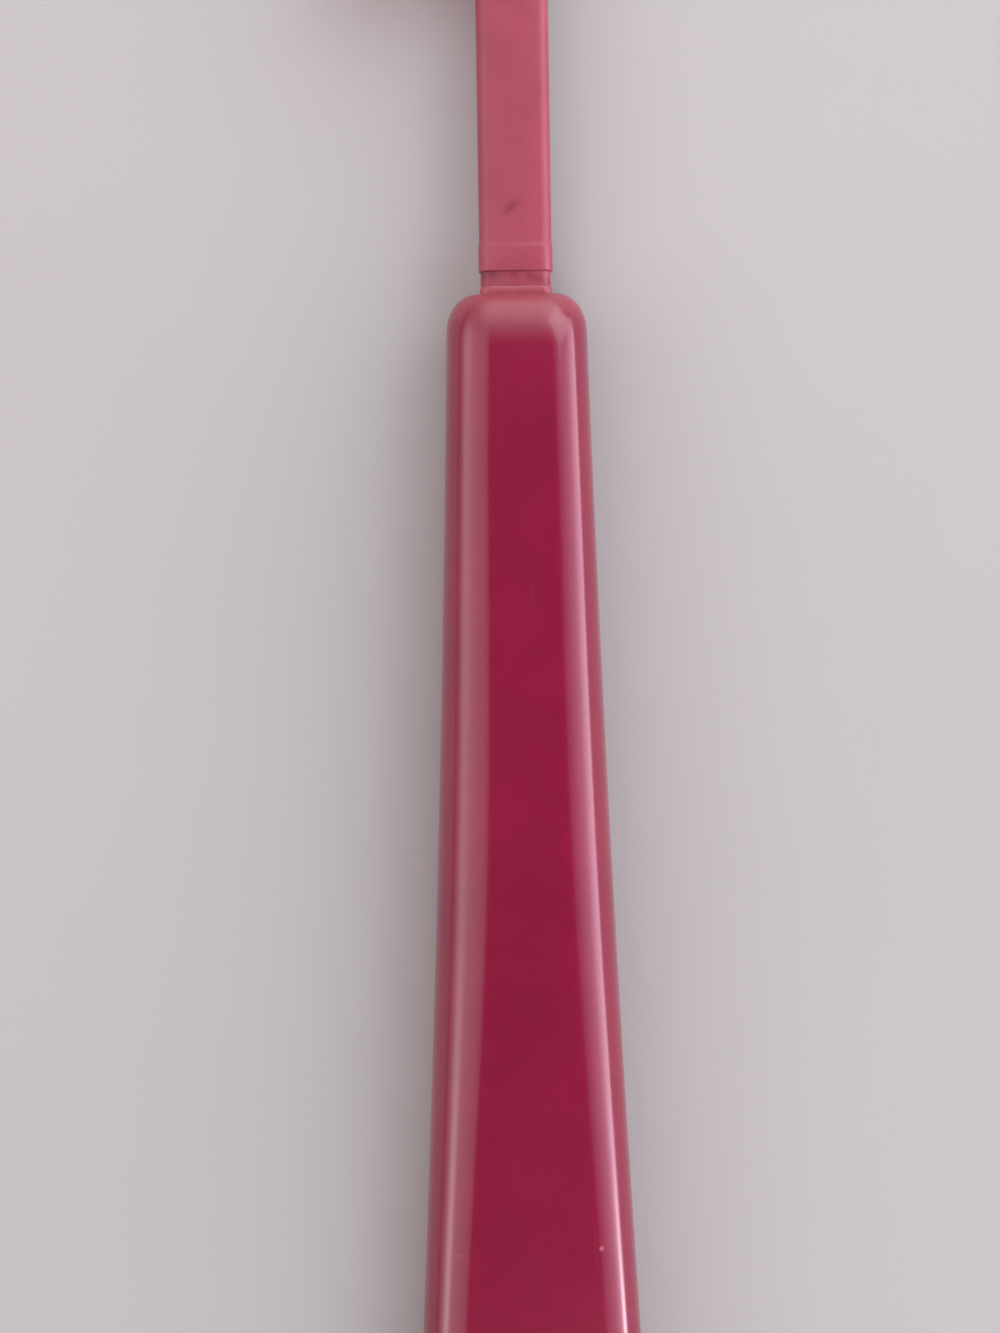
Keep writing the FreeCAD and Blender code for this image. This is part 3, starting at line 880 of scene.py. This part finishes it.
def shell_rings(form, neck, side):
    """Matched outer and inner rings of a shell: side is 1 for the front and -1 for the back."""
    sizes = form.sizes
    end_edge = sizes.front_edge if side > 0 else sizes.back_edge
    seam, no_seam = (sizes.seam_depth, sizes.seam_half), (0.0, sizes.seam_half)

    def height(y):
        return form.crown(y) - parting_z if side > 0 else parting_z

    outer, inner = [], []
    for plan, outward in form.stations():
        edge = form.front_edge(plan.y) if side > 0 else sizes.back_edge
        rise = height((plan - outward * edge).y)
        outer.append(half_ring(plan, outward, rise, edge, 0.0, seam, side))
        inner.append(half_ring(plan, outward, rise, edge, sizes.wall, no_seam, side))
    ahead = Vector((1.0, 0.0))
    for a in arc_steps(shoulder_steps)[1:]:
        y = shoulder_y - sizes.shoulder_fall * (1 - math.sin(a))
        shrink = rounded_in(shoulder_y - y, sizes.shoulder_run, sizes.shoulder_edge)
        fall = rounded_in(shoulder_y - y, sizes.shoulder_fall, sizes.shoulder_edge) - shrink
        plan = Vector((form.half_width(y), y))
        outer.append(half_ring(plan, ahead, height(y) - fall, end_edge, shrink, seam, side))
        y = shoulder_y - sizes.wall - (sizes.shoulder_fall - sizes.wall) * (1 - math.sin(a))
        shrink = sizes.wall + (sizes.shoulder_edge - sizes.wall) * (1 - math.cos(a))
        plan = Vector((form.half_width(y), y))
        inner.append(half_ring(plan, ahead, height(y), end_edge, shrink, no_seam, side))
    boss_half, boss_rise = neck.width / 2, neck.thickness / 2
    hole_half = boss_half - neck.tenon_inset + neck.socket_clearance
    hole_rise = boss_rise - neck.tenon_inset + neck.socket_clearance
    boss_height = boss_top_y - shoulder_y
    cavity_end = shoulder_y - sizes.wall
    for k, a in enumerate(arc_steps(boss_steps)):
        inset = boss_lean_share * boss_height * (1 - math.cos(a))
        plan = Vector((boss_half - inset, shoulder_y + boss_height * math.sin(a)))
        outer.append(half_ring(plan, ahead, boss_rise - inset, neck.edge, 0.0, no_seam, side))
        hole = Vector((hole_half, cavity_end + (boss_top_y - cavity_end) * k / boss_steps))
        inner.append(half_ring(hole, ahead, hole_rise, 0.0, 0.0, no_seam, side))
    return [whole_ring(h) for h in outer], [whole_ring(h) for h in inner]


def shell_mesh(name, outer, inner):
    """A closed shell from matched outer and inner rings, with its parting rim and its mouth."""
    bm = bmesh.new()
    out_verts = skin(bm, outer, closed=False)
    in_verts = skin(bm, inner, closed=False)
    for i in range(len(out_verts) - 1):
        for j in (0, -1):
            bm.faces.new((out_verts[i][j], out_verts[i + 1][j], in_verts[i + 1][j], in_verts[i][j]))
    for j in range(len(out_verts[-1]) - 1):
        bm.faces.new((out_verts[-1][j], out_verts[-1][j + 1], in_verts[-1][j + 1], in_verts[-1][j]))
    return finish_mesh(name, bm)


class RAZOR_OT_handle(Operator):
    """Build the handle's front and back shells with their seam and socket boss"""

    bl_idname = "razor.handle"
    bl_label = "Handle shells"

    def execute(self, context):
        scene = context.scene
        form = HandleForm(scene.razor_handle)
        material = crimson_gloss(scene.razor_finish)
        for name, node, side in (
            ("handle_front", "handle_front_shell", 1),
            ("handle_back", "handle_back_shell", -1),
        ):
            mesh = shell_mesh(name, *shell_rings(form, scene.razor_neck, side))
            add_piece(name, mesh, "razor", "crimson_gloss", material, node)
        return {"FINISHED"}


# The neck and the blade holder


def bar_loop(half_width, half_thickness, edge, flat_count=28, arc_count=8, side_count=8):
    """Points round a rounded bar section, (x, height above the axis), anticlockwise seen along -Y."""
    edge = min(edge, half_width, half_thickness)
    wide, tall = half_width - edge, half_thickness - edge
    points = []
    for x_sign, z_sign in ((1, 1), (-1, 1), (-1, -1), (1, -1)):
        across = x_sign * z_sign > 0
        for a in arc_steps(arc_count):
            b = a if across else right_angle - a
            points.append((x_sign * (wide + edge * math.cos(b)), z_sign * (tall + edge * math.sin(b))))
        runs = flat_count if across else side_count
        start = points[-1]
        end = (-start[0], start[1]) if across else (start[0], -start[1])
        for k in range(1, runs):
            t = k / runs
            points.append((start[0] + (end[0] - start[0]) * t, start[1] + (end[1] - start[1]) * t))
    return points


# How many rows of points the groove, the collar's lower and upper rims, the neck and its end are drawn with
groove_rows, low_rim_rows, high_rim_rows, stem_rows, end_rows = 8, 4, 6, 90, 4
# How ragged the collar's lower rim starts, as a share of the groove's raggedness
rim_ragging = 0.25


def neck_stations(neck):
    """(y, half width, half thickness, edge, how ragged) from the tang's end to the holder."""
    half, rise, edge = neck.width / 2, neck.thickness / 2, neck.edge
    tenon = (half - neck.tenon_inset, rise - neck.tenon_inset, neck.socket_clearance)
    depth = neck.groove_depth
    groove = (half - depth, rise - depth, edge - depth)
    collar_low = boss_top_y + neck.groove_height
    collar_high = collar_low + neck.collar_height
    proud, soft = neck.collar_proud, neck.collar_round
    low_soft = soft / 3
    rows = [(boss_top_y - neck.tang_length, *tenon, 0.0), (boss_top_y, *tenon, 0.0)]
    for k in range(groove_rows + 1):
        rows.append((boss_top_y + neck.groove_height * k / groove_rows, *groove, 1.0))
    for k, a in enumerate(arc_steps(low_rim_rows)):
        way = k / low_rim_rows
        out = proud - low_soft * (1 - math.sin(a))
        rows.append((collar_low + low_soft * way, half + out, rise + out, edge + out, rim_ragging * (1 - way)))
    for k in range(high_rim_rows + 1):
        way = k / high_rim_rows
        out = proud * (1 + math.cos(math.pi * way)) / 2
        rows.append((collar_high - soft * (1 - way), half + out, rise + out, edge + out, 0.0))
    for k in range(1, stem_rows + 1):
        rows.append((collar_high + neck.stem_length * k / stem_rows, half, rise, edge, 0.0))
    end_round = neck.holder_edge / 2
    for a in arc_steps(end_rows)[1:]:
        shrink = end_round * (1 - math.cos(a))
        y = collar_high + neck.stem_length + end_round * math.sin(a)
        rows.append((y, half - shrink, rise - shrink, edge, 0.0))
    return rows


# The nick: its middle as shares of the neck's width and length, its direction, and its reach and breadth
# as shares of the width
nick_place_shares = (-0.07, 0.235)
nick_along = Vector((0.8, 0.6))
nick_size_shares = (0.13, 0.05)


def nick(neck, x, y):
    """Depth of a small slanting nick in the neck's front at a place on it."""
    across, up = nick_place_shares
    away = Vector((x, y)) - Vector((across * neck.width, boss_top_y + up * neck.stem_length))
    u, v = away.dot(nick_along), away.dot(nick_along.orthogonal())
    reach, breadth = (size * neck.width for size in nick_size_shares)
    return neck.nick_depth * math.exp(-((u / reach) ** 2) - (v / breadth) ** 2)


# How uneven the groove is: how many bumps to the metre and how high they are, as a share of the section
ragged_scale, ragged_share = 900.0, 0.03


def neck_mesh(neck):
    """Tang, groove, collar and neck as one bar; the groove is uneven, and the crowned front has a nick."""
    rings = []
    for y, half, rise, edge, local_weight in neck_stations(neck):
        ring = []
        for x, h in bar_loop(half, rise, edge):
            push = 1 + ragged_share * noise.noise(Vector((x, h, y)) * ragged_scale) * local_weight
            z = parting_z + h * push
            if h > 0:
                z -= neck.crown * (x / half) ** 2 * min(1.0, h / (rise - edge))
            if h > rise - edge / 4:
                z -= nick(neck, x, y)
            ring.append(Vector((x * push, y, z)))
        rings.append(ring)
    bm = bmesh.new()
    made = skin(bm, rings)
    bm.faces.new(made[0])
    bm.faces.new(reversed(made[-1]))
    return finish_mesh("neck", bm)


# Painted shade patches in the groove as (strength, place, breadth), where place and breadth are shares of
# half the width
groove_shade_patches = ((0.5, -0.76, 0.3), (0.35, -0.05, 0.12))
# Painted shade strengths: on the right, in the nick, and an even share that grows towards the left
right_shade, nick_shade, even_shade = 0.4, 0.6, 0.18
# They lie along a line, as shares of the groove's height: its level, how far it falls to the right, how much
# it wavers and how broad it is. The fall starts at a share of half the width and runs over another
line_level, line_fall, line_waver, line_breadth = 0.86, 0.7, 0.12, 0.3
fall_start, fall_run = 0.2, 0.75
waver_scale = (1500.0, 300.0)
groove_margin = 0.05


def store_groove_shade(mesh, neck):
    """How much painted shade each point gets, for the material to read: uneven dark patches in the groove
    under the collar, darker towards the left, and in the nick.
    """
    values = []
    for vertex in mesh.vertices:
        x, y, z = vertex.co
        level = (y - boss_top_y) / neck.groove_height
        across = 2 * x / neck.width
        falls = min(max((across - fall_start) / fall_run, 0.0), 1.0)
        waver = noise.noise(Vector((x * waver_scale[0], 3.0, z * waver_scale[1])))
        line = line_level - line_fall * falls + line_waver * waver
        # Painted shade: patches along a wavering line in the groove, an even share that grows towards the
        # left, and the nick darkened
        darkness = right_shade * min(1.0, 4 * falls)
        for strength, place_share, breadth in groove_shade_patches:
            darkness += strength * math.exp(-(((across - place_share) / breadth) ** 2))
        near_line = math.exp(-(((level - line) / line_breadth) ** 2))
        in_groove = -groove_margin <= level <= 1 + groove_margin
        local_weight = darkness * near_line + even_shade * (1 - across) if in_groove else 0.0
        if z > parting_z + neck.thickness / 4:
            local_weight = max(local_weight, nick_shade * nick(neck, x, y) / neck.nick_depth)
        values.append(local_weight)
    layer = mesh.attributes.new("grime", "FLOAT", "POINT")
    layer.data.foreach_set("value", values)


def holder_mesh(neck):
    """The blade holder: a plate with a heel and a toe round the bay, its pocket cut from the front."""
    spine, bay = neck.width / 2, -neck.width / 2
    heel = stem_low.x
    base = boss_top_y + neck.groove_height + neck.collar_height + neck.stem_length
    heel_top, toe_low, tip = base + neck.heel_length, stem_high.y - neck.toe_length, stem_high.y
    corners = [
        (bay, base - neck.heel_slope, 0.0),
        (spine, base - neck.heel_slope, 0.0),
        (spine, tip, neck.toe_spine),
        (heel, tip, neck.toe_edge),
        (heel, toe_low, neck.bay_corner),
        (bay, toe_low, neck.bay_corner),
        (bay, heel_top, neck.bay_corner),
        (heel, heel_top, neck.bay_corner),
        (heel, base, neck.toe_edge),
    ]
    outline = split_long(rounded_path(corners), neck.width / 4)
    half = plate_high.z - parting_z
    body = plate_mesh("holder", outline, parting_z - half, parting_z + half, neck.holder_edge)
    pocket = box_outline(guard_low.x, spine - neck.spine_wall, heel_top, toe_low)
    tool = plate_mesh("pocket", pocket, guard_low.z, 2 * plate_high.z, 0.0, steps=1)
    return carved(body, tool, "DIFFERENCE")


class RAZOR_OT_neck(Operator):
    """Build the neck with its collar, groove and blade holder"""

    bl_idname = "razor.neck"
    bl_label = "Neck and holder"

    def execute(self, context):
        scene = context.scene
        neck = scene.razor_neck
        mesh = carved(neck_mesh(neck), holder_mesh(neck), "UNION")
        mesh.name = "neck_stem"
        store_groove_shade(mesh, neck)
        add_piece("neck", mesh, "razor", "crimson_satin", satin_material(scene), "neck_stem")
        return {"FINISHED"}


# The blade, its guard, clamp plate and rivets


class RAZOR_OT_blade(Operator):
    """Give the ground blade its steel"""

    bl_idname = "razor.blade"
    bl_label = "Blade"

    def execute(self, context):
        finish = context.scene.razor_finish
        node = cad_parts["blade"]
        node.data.materials.clear()
        node.data.materials.append(ground_steel(finish, "ground_blade", finish.blade_roughness))
        return {"FINISHED"}


# How many steps a tooth's inner and outer bends and a rivet's dome are drawn with
inner_bend_steps, outer_bend_steps, dome_steps = 4, 6, 10
rivet_count = 2


def tooth_section(head, root):
    """A guard tooth from the side: a strip whose tip is bent up in front of the blade's edge."""
    tip, base, lip_top = guard_low.x, guard_low.z, guard_high.z
    top = base + head.guard_thickness
    bend, inner_bend = head.guard_thickness, head.guard_lip / 3
    lip = tip + head.guard_lip
    points = [(root, base), (root, top)]
    for a in arc_steps(inner_bend_steps):
        points.append((lip + inner_bend * (1 - math.sin(a)), top + inner_bend * (1 - math.cos(a))))
    points += [(lip, lip_top), (tip, lip_top)]
    for a in arc_steps(outer_bend_steps):
        points.append((tip + bend * (1 - math.cos(a)), base + bend * (1 - math.sin(a))))
    return points


class RAZOR_OT_guard(Operator):
    """Build the guard's strip and set out its row of bent teeth"""

    bl_idname = "razor.guard"
    bl_label = "Skin guard"

    def execute(self, context):
        scene = context.scene
        head = scene.razor_head
        material = pressed_steel(scene)
        root = guard_low.x + head.guard_reach
        width = head.guard_pitch - head.guard_slot
        soft = head.guard_thickness / 8
        count = int((guard_high.y - guard_low.y) / head.guard_pitch)
        first = (guard_low.y + guard_high.y - (count - 2) * head.guard_pitch) / 2
        side = first - head.guard_pitch + width / 2
        outline = box_outline(root, guard_high.x, guard_low.y, guard_high.y)
        top = guard_low.z + head.guard_thickness
        strip = plate_mesh("guard_strip", outline, guard_low.z, top, soft, steps=3)
        section = tooth_section(head, root + soft)
        ends = [
            bevelled(prism("end_tooth", section, guard_low.y, side), soft),
            bevelled(prism("end_tooth", section, guard_low.y + guard_high.y - side, guard_high.y), soft),
        ]
        tooth = bevelled(prism("tooth", section, -width / 2, width / 2), soft)
        base = join_meshes("guard_comb", [strip, *ends])
        step = (0.0, head.guard_pitch, 0.0)
        mesh = in_a_row(base, tooth, material, count - 1, (0.0, first, 0.0), step)
        add_piece("guard_comb", mesh, "razor", "guard_steel", material, "skin_guard")
        return {"FINISHED"}


class RAZOR_OT_rivets(Operator):
    """Build the two domed rivets that hold the head's stack"""

    bl_idname = "razor.rivets"
    bl_label = "Rivets"

    def execute(self, context):
        scene = context.scene
        head = scene.razor_head
        material = pressed_steel(scene)
        radius, shank = head.rivet_head / 2, head.rivet_shank / 2
        rise = rivet_high.z - plate_high.z
        middle_x = (rivet_low.x + rivet_high.x) / 2
        dome = [(radius * math.sin(a), rise * math.cos(a)) for a in arc_steps(dome_steps)]
        profile = [(r, plate_high.z + z) for r, z in dome]
        profile += [(shank, plate_high.z), (shank, rivet_low.z + rise)]
        profile += [(r, rivet_low.z + rise - z) for r, z in reversed(dome)]
        base = bpy.data.meshes.new("rivets")
        step = (0.0, rivet_high.y - rivet_low.y - head.rivet_head, 0.0)
        start = (0.0, rivet_low.y + radius, 0.0)
        rivet = lathed("rivet", profile, middle_x)
        mesh = in_a_row(base, rivet, material, rivet_count, start, step)
        add_piece("rivets", mesh, "razor", "guard_steel", material, "clamp_rivets")
        return {"FINISHED"}


class RAZOR_OT_clamp_plate(Operator):
    """Build the clamp plate with its sloped side and softened edges"""

    bl_idname = "razor.clamp_plate"
    bl_label = "Clamp plate"

    def execute(self, context):
        scene = context.scene
        head = scene.razor_head
        section = (
            (plate_low.x, plate_low.z),
            (plate_high.x, plate_low.z),
            (plate_high.x, plate_high.z),
            (plate_low.x + head.plate_slope, plate_high.z),
        )
        cover = prism("clamp_cover", section, plate_low.y, plate_high.y)
        mesh = bevelled(cover, head.plate_round, segments=3)
        add_piece("clamp_cover", mesh, "razor", "crimson_satin", satin_material(scene), "clamp_plate")
        return {"FINISHED"}


# The cap


def cap_mesh(cap):
    """The sheath: a rounded outer form with a thumb tab, hollowed from its slanting mouth."""
    left = cap_low.x + cap.tab_reach
    right, tip = cap_high.x, cap_high.y
    mouth_low = cap_low.y
    tab_top = mouth_low + cap.tab_height
    outer = rounded_path(
        [
            (right, mouth_low + cap.mouth_rise, cap.mouth_radius),
            (right, tip, cap.tip_radius),
            (left, tip, cap.tip_radius),
            (left, tab_top, cap.tab_blend),
            (cap_low.x, tab_top + cap.tab_lift, cap.tab_tip),
            (cap_low.x, mouth_low + cap.tab_lift, cap.tab_tip),
            (left + cap.mouth_start, mouth_low, cap.mouth_radius),
        ]
    )
    below = mouth_low - cap.mouth_rise
    inner = rounded_path(
        [
            (right - cap.wall, below, 0.0),
            (right - cap.wall, tip - cap.wall, cap.tip_radius - cap.wall),
            (left + cap.wall, tip - cap.wall, cap.tip_radius - cap.wall),
            (left + cap.wall, below, 0.0),
        ]
    )
    step = cap.tip_radius / 3
    body = plate_mesh("cap", split_long(outer, step), cap_low.z, cap_high.z, cap.edge, steps=8)
    floor, roof = cap_low.z + cap.wall, cap_high.z - cap.wall
    tool = plate_mesh("hollow", split_long(inner, step), floor, roof, cap.inner_edge)
    return bevelled(carved(body, tool, "DIFFERENCE"), cap.mouth_round)


class RAZOR_OT_cap(Operator):
    """Build the clear tinted cap with its thumb tab"""

    bl_idname = "razor.cap"
    bl_label = "Cap"

    def execute(self, context):
        scene = context.scene
        mesh = cap_mesh(scene.razor_cap)
        add_piece("cap_sheath", mesh, "cap", "tinted_clear", rose_clear(scene.razor_finish), "cap")
        return {"FINISHED"}


# The stage

# A soft box shines at the razor. Its near and far edges, given as (place across, height), run over a span
# along the frame's X or Y. Its brightness is given as stops: (share of the way, brightness) from the near
# edge to the far one, and (share of the way, factor) from the span's start to its end
SoftBox = namedtuple("SoftBox", "runs near far span colour across along")
even = ((0.0, 1.0), (1.0, 1.0))
soft_boxes = {
    "left_box": SoftBox(
        runs="Y",
        near=(-0.053, 0.6),
        far=(-0.615, 0.003),
        span=(-0.18, 0.67),
        colour=(1.0, 0.76, 0.79),
        across=(
            *((0.0, 0.2), (0.08, 0.95), (0.3, 1.4), (0.45, 1.75)),
            *((0.58, 2.5), (0.68, 2.6), (0.8, 1.1), (1.0, 0.2)),
        ),
        along=((0.0, 1.0), (0.42, 1.0), (0.6, 0.55), (0.8, 0.25), (1.0, 0.1)),
    ),
    "left_lower_box": SoftBox(
        runs="Y",
        near=(-0.225, 0.2),
        far=(-0.3, 0.122),
        span=(-0.13, 0.0),
        colour=(1.0, 0.92, 0.92),
        across=((0.0, 0.0), (0.4, 1.7), (0.6, 1.7), (1.0, 0.0)),
        along=((0.0, 1.0), (0.7, 1.0), (1.0, 0.0)),
    ),
    "right_box": SoftBox(
        runs="Y",
        near=(0.34, 0.74),
        far=(1.2, 0.036),
        span=(-0.5, 0.8),
        colour=(1.0, 0.77, 0.92),
        across=(
            *((0.0, 0.0), (0.08, 0.5), (0.2, 0.9), (0.3, 1.4)),
            *((0.4, 1.75), (0.5, 2.3), (0.65, 4.0), (1.0, 6.2)),
        ),
        along=((0.0, 1.0), (0.45, 1.0), (0.6, 0.85), (1.0, 0.4)),
    ),
    "right_glint": SoftBox(
        runs="Y",
        near=(1.1, 0.294),
        far=(1.104, 0.088),
        span=(-0.417, -0.069),
        colour=(1.0, 0.82, 0.9),
        across=((0.0, 0.0), (0.3, 11.0), (0.8, 11.0), (1.0, 4.0)),
        along=((0.0, 1.0), (0.75, 1.0), (1.0, 0.0)),
    ),
    "head_box": SoftBox(
        runs="X",
        near=(0.08, 0.54),
        far=(0.58, 0.003),
        span=(-0.43, 0.57),
        colour=(1.0, 0.97, 0.97),
        across=(
            *((0.0, 0.0), (0.1, 0.08), (0.2, 0.3), (0.3, 0.75), (0.4, 1.35)),
            *((0.5, 1.85), (0.6, 2.1), (0.75, 2.1), (0.9, 1.5), (1.0, 0.7)),
        ),
        along=((0.0, 0.0), (0.2, 0.15), (0.36, 0.7), (0.49, 1.0), (0.67, 1.0), (0.84, 0.6), (1.0, 0.0)),
    ),
    "foot_box": SoftBox(
        runs="X",
        near=(-0.12, 0.4),
        far=(-0.45, 0.1),
        span=(0.0, 0.3),
        colour=(1.0, 1.0, 1.0),
        across=((0.0, 1.6), (1.0, 1.6)),
        along=even,
    ),
}
# The key light stands on the right, beyond the head
key_place = Vector((0.5, 0.5, 0.45))
key_colour = (1.0, 1.0, 1.0)
floor_sides = 120
clip_share = 0.02


def box_corners(box):
    """The two ends of a soft box's near edge and the first end of its far edge."""
    start, end = box.span
    corners = []
    for (side, height), along in ((box.near, start), (box.near, end), (box.far, start)):
        corners.append(Vector((side, along, height) if box.runs == "Y" else (along, side, height)))
    return corners


def key_corners(size):
    """Three corners of the square key light, which faces the razor."""
    side = key_place.cross(Vector((0.0, 0.0, 1.0))).normalized() * size
    rise = side.cross(key_place).normalized() * size
    corner = key_place - (side + rise) / 2
    return corner, corner + side, corner + rise


def graded(tree, way, stops):
    """A brightness that follows (share, brightness) stops along a coordinate from 0 to 1."""
    brightest = max(value for _, value in stops)
    ramp = add_node(tree, "ShaderNodeValToRGB", {0: way})
    elements = ramp.color_ramp.elements
    while len(elements) < len(stops):
        elements.new(0.5)
    for element, (position, value) in zip(elements, stops):
        element.position = position
        element.color = (*[value / brightest] * 3, 1.0)
    return maths(tree, "MULTIPLY", ramp.outputs[0], brightest)


def add_box(name, corners, colour, across_stops, along_stops):
    """A soft rectangular light that shines at the razor, from three of its corners."""
    corner, along_end, across_end = corners
    across, along = across_end - corner, along_end - corner
    centre = corner + (across + along) / 2
    facing = across.cross(along).normalized()
    turn = 1 if facing.dot(centre) > 0 else -1
    data = bpy.data.lights.new(name, "AREA")
    data.shape = "RECTANGLE"
    data.size = across.length
    data.size_y = along.length
    data.energy = math.pi * across.length * along.length
    data.color = colour
    data.use_nodes = True
    tree = data.node_tree
    spot = add_node(tree, "ShaderNodeNewGeometry").outputs["Parametric"]
    ways = add_node(tree, "ShaderNodeSeparateXYZ", {0: spot}).outputs
    ends = along_stops if turn > 0 else [(1 - way, value) for way, value in reversed(along_stops)]
    brightness = maths(tree, "MULTIPLY", graded(tree, ways[0], across_stops), graded(tree, ways[1], ends))
    tree.links.new(brightness, tree.nodes["Emission"].inputs["Strength"])
    lamp = bpy.data.objects.new(name, data)
    bpy.context.scene.collection.objects.link(lamp)
    turned = Matrix((across.normalized(), turn * along.normalized(), turn * facing)).transposed()
    lamp.matrix_world = Matrix.Translation(centre) @ turned.to_4x4()
    lamp.visible_camera = False


def add_floor(scene):
    """A plain round floor that the razor lies on."""
    stage = scene.razor_stage
    turns = [Matrix.Rotation(math.tau * k / floor_sides, 2) for k in range(floor_sides)]
    rim = [turn @ Vector((stage.floor_radius, 0.0)) for turn in turns]
    mesh = plate_mesh("floor", rim, cad_low.z - stage.floor_depth, cad_low.z, 0.0, steps=1)
    mesh.materials.append(pale_paper(scene.razor_finish))
    floor = bpy.data.objects.new("floor", mesh)
    scene.collection.objects.link(floor)


def add_surround(scene):
    """Even light from all round, and a plain backdrop past the floor."""
    stage = scene.razor_stage
    world = bpy.data.worlds.new("studio")
    scene.world = world
    world.use_nodes = True
    tree = world.node_tree
    fill = tree.nodes["Background"]
    set_sockets(tree, fill, {"Color": (*stage.fill_tint, 1.0), "Strength": stage.fill})
    seen = add_node(tree, "ShaderNodeBackground", {"Color": (*stage.backdrop, 1.0)})
    rays = add_node(tree, "ShaderNodeLightPath").outputs["Is Camera Ray"]
    mixed = add_node(tree, "ShaderNodeMixShader", {0: rays, 1: fill.outputs[0], 2: seen.outputs[0]})
    tree.links.new(mixed.outputs[0], tree.nodes["World Output"].inputs["Surface"])


def add_camera(scene):
    """The camera, straight above the razor."""
    stage = scene.razor_stage
    data = bpy.data.cameras.new("camera")
    data.lens = stage.lens
    distance = stage.lens * stage.view_height / data.sensor_width
    data.clip_start = distance * clip_share
    camera = bpy.data.objects.new("camera", data)
    camera.location = (stage.view_x, stage.view_y, parting_z + distance)
    camera.rotation_euler = (0.0, 0.0, -stage.roll)
    scene.collection.objects.link(camera)
    scene.camera = camera


class RAZOR_OT_stage(Operator):
    """Set the pale floor, the soft light and the camera"""

    bl_idname = "razor.stage"
    bl_label = "Stage"

    def execute(self, context):
        scene = context.scene
        scene.view_settings.view_transform = "Standard"
        add_floor(scene)
        add_surround(scene)
        for name, box in soft_boxes.items():
            add_box(name, box_corners(box), box.colour, box.across, box.along)
        add_box("key", key_corners(scene.razor_stage.key_size), key_colour, even, even)
        add_camera(scene)
        return {"FINISHED"}


class RAZOR_PT_panel(Panel):
    """The razor's operators and values in the sidebar"""

    bl_label = "Eyebrow razor"
    bl_idname = "RAZOR_PT_panel"
    bl_space_type = "VIEW_3D"
    bl_region_type = "UI"
    bl_category = "Razor"

    def draw(self, context):
        for operator in operators:
            self.layout.operator(operator.bl_idname)
        for name, group in property_groups.items():
            rows = self.layout.box()
            for key in group.__annotations__:
                rows.prop(getattr(context.scene, name), key)


property_groups = {
    "razor_handle": RazorHandle,
    "razor_neck": RazorNeck,
    "razor_head": RazorHead,
    "razor_cap": RazorCap,
    "razor_finish": RazorFinish,
    "razor_stage": RazorStage,
}
operators = (
    RAZOR_OT_handle,
    RAZOR_OT_neck,
    RAZOR_OT_blade,
    RAZOR_OT_guard,
    RAZOR_OT_clamp_plate,
    RAZOR_OT_rivets,
    RAZOR_OT_cap,
    RAZOR_OT_stage,
)


def register():
    for name, group in property_groups.items():
        for key, made in group.__annotations__.items():
            made.keywords["name"] = key.replace("_", " ").capitalize()
        bpy.utils.register_class(group)
        setattr(bpy.types.Scene, name, PointerProperty(type=group))
    for made in (*operators, RAZOR_PT_panel):
        bpy.utils.register_class(made)


def unregister():
    for made in (RAZOR_PT_panel, *reversed(operators)):
        bpy.utils.unregister_class(made)
    for name, group in property_groups.items():
        delattr(bpy.types.Scene, name)
        bpy.utils.unregister_class(group)


def main():
    register()
    bpy.ops.razor.handle()
    bpy.ops.razor.neck()
    bpy.ops.razor.blade()
    bpy.ops.razor.guard()
    bpy.ops.razor.clamp_plate()
    bpy.ops.razor.rivets()
    bpy.ops.razor.cap()
    bpy.ops.razor.stage()


if __name__ == "__main__":
    main()
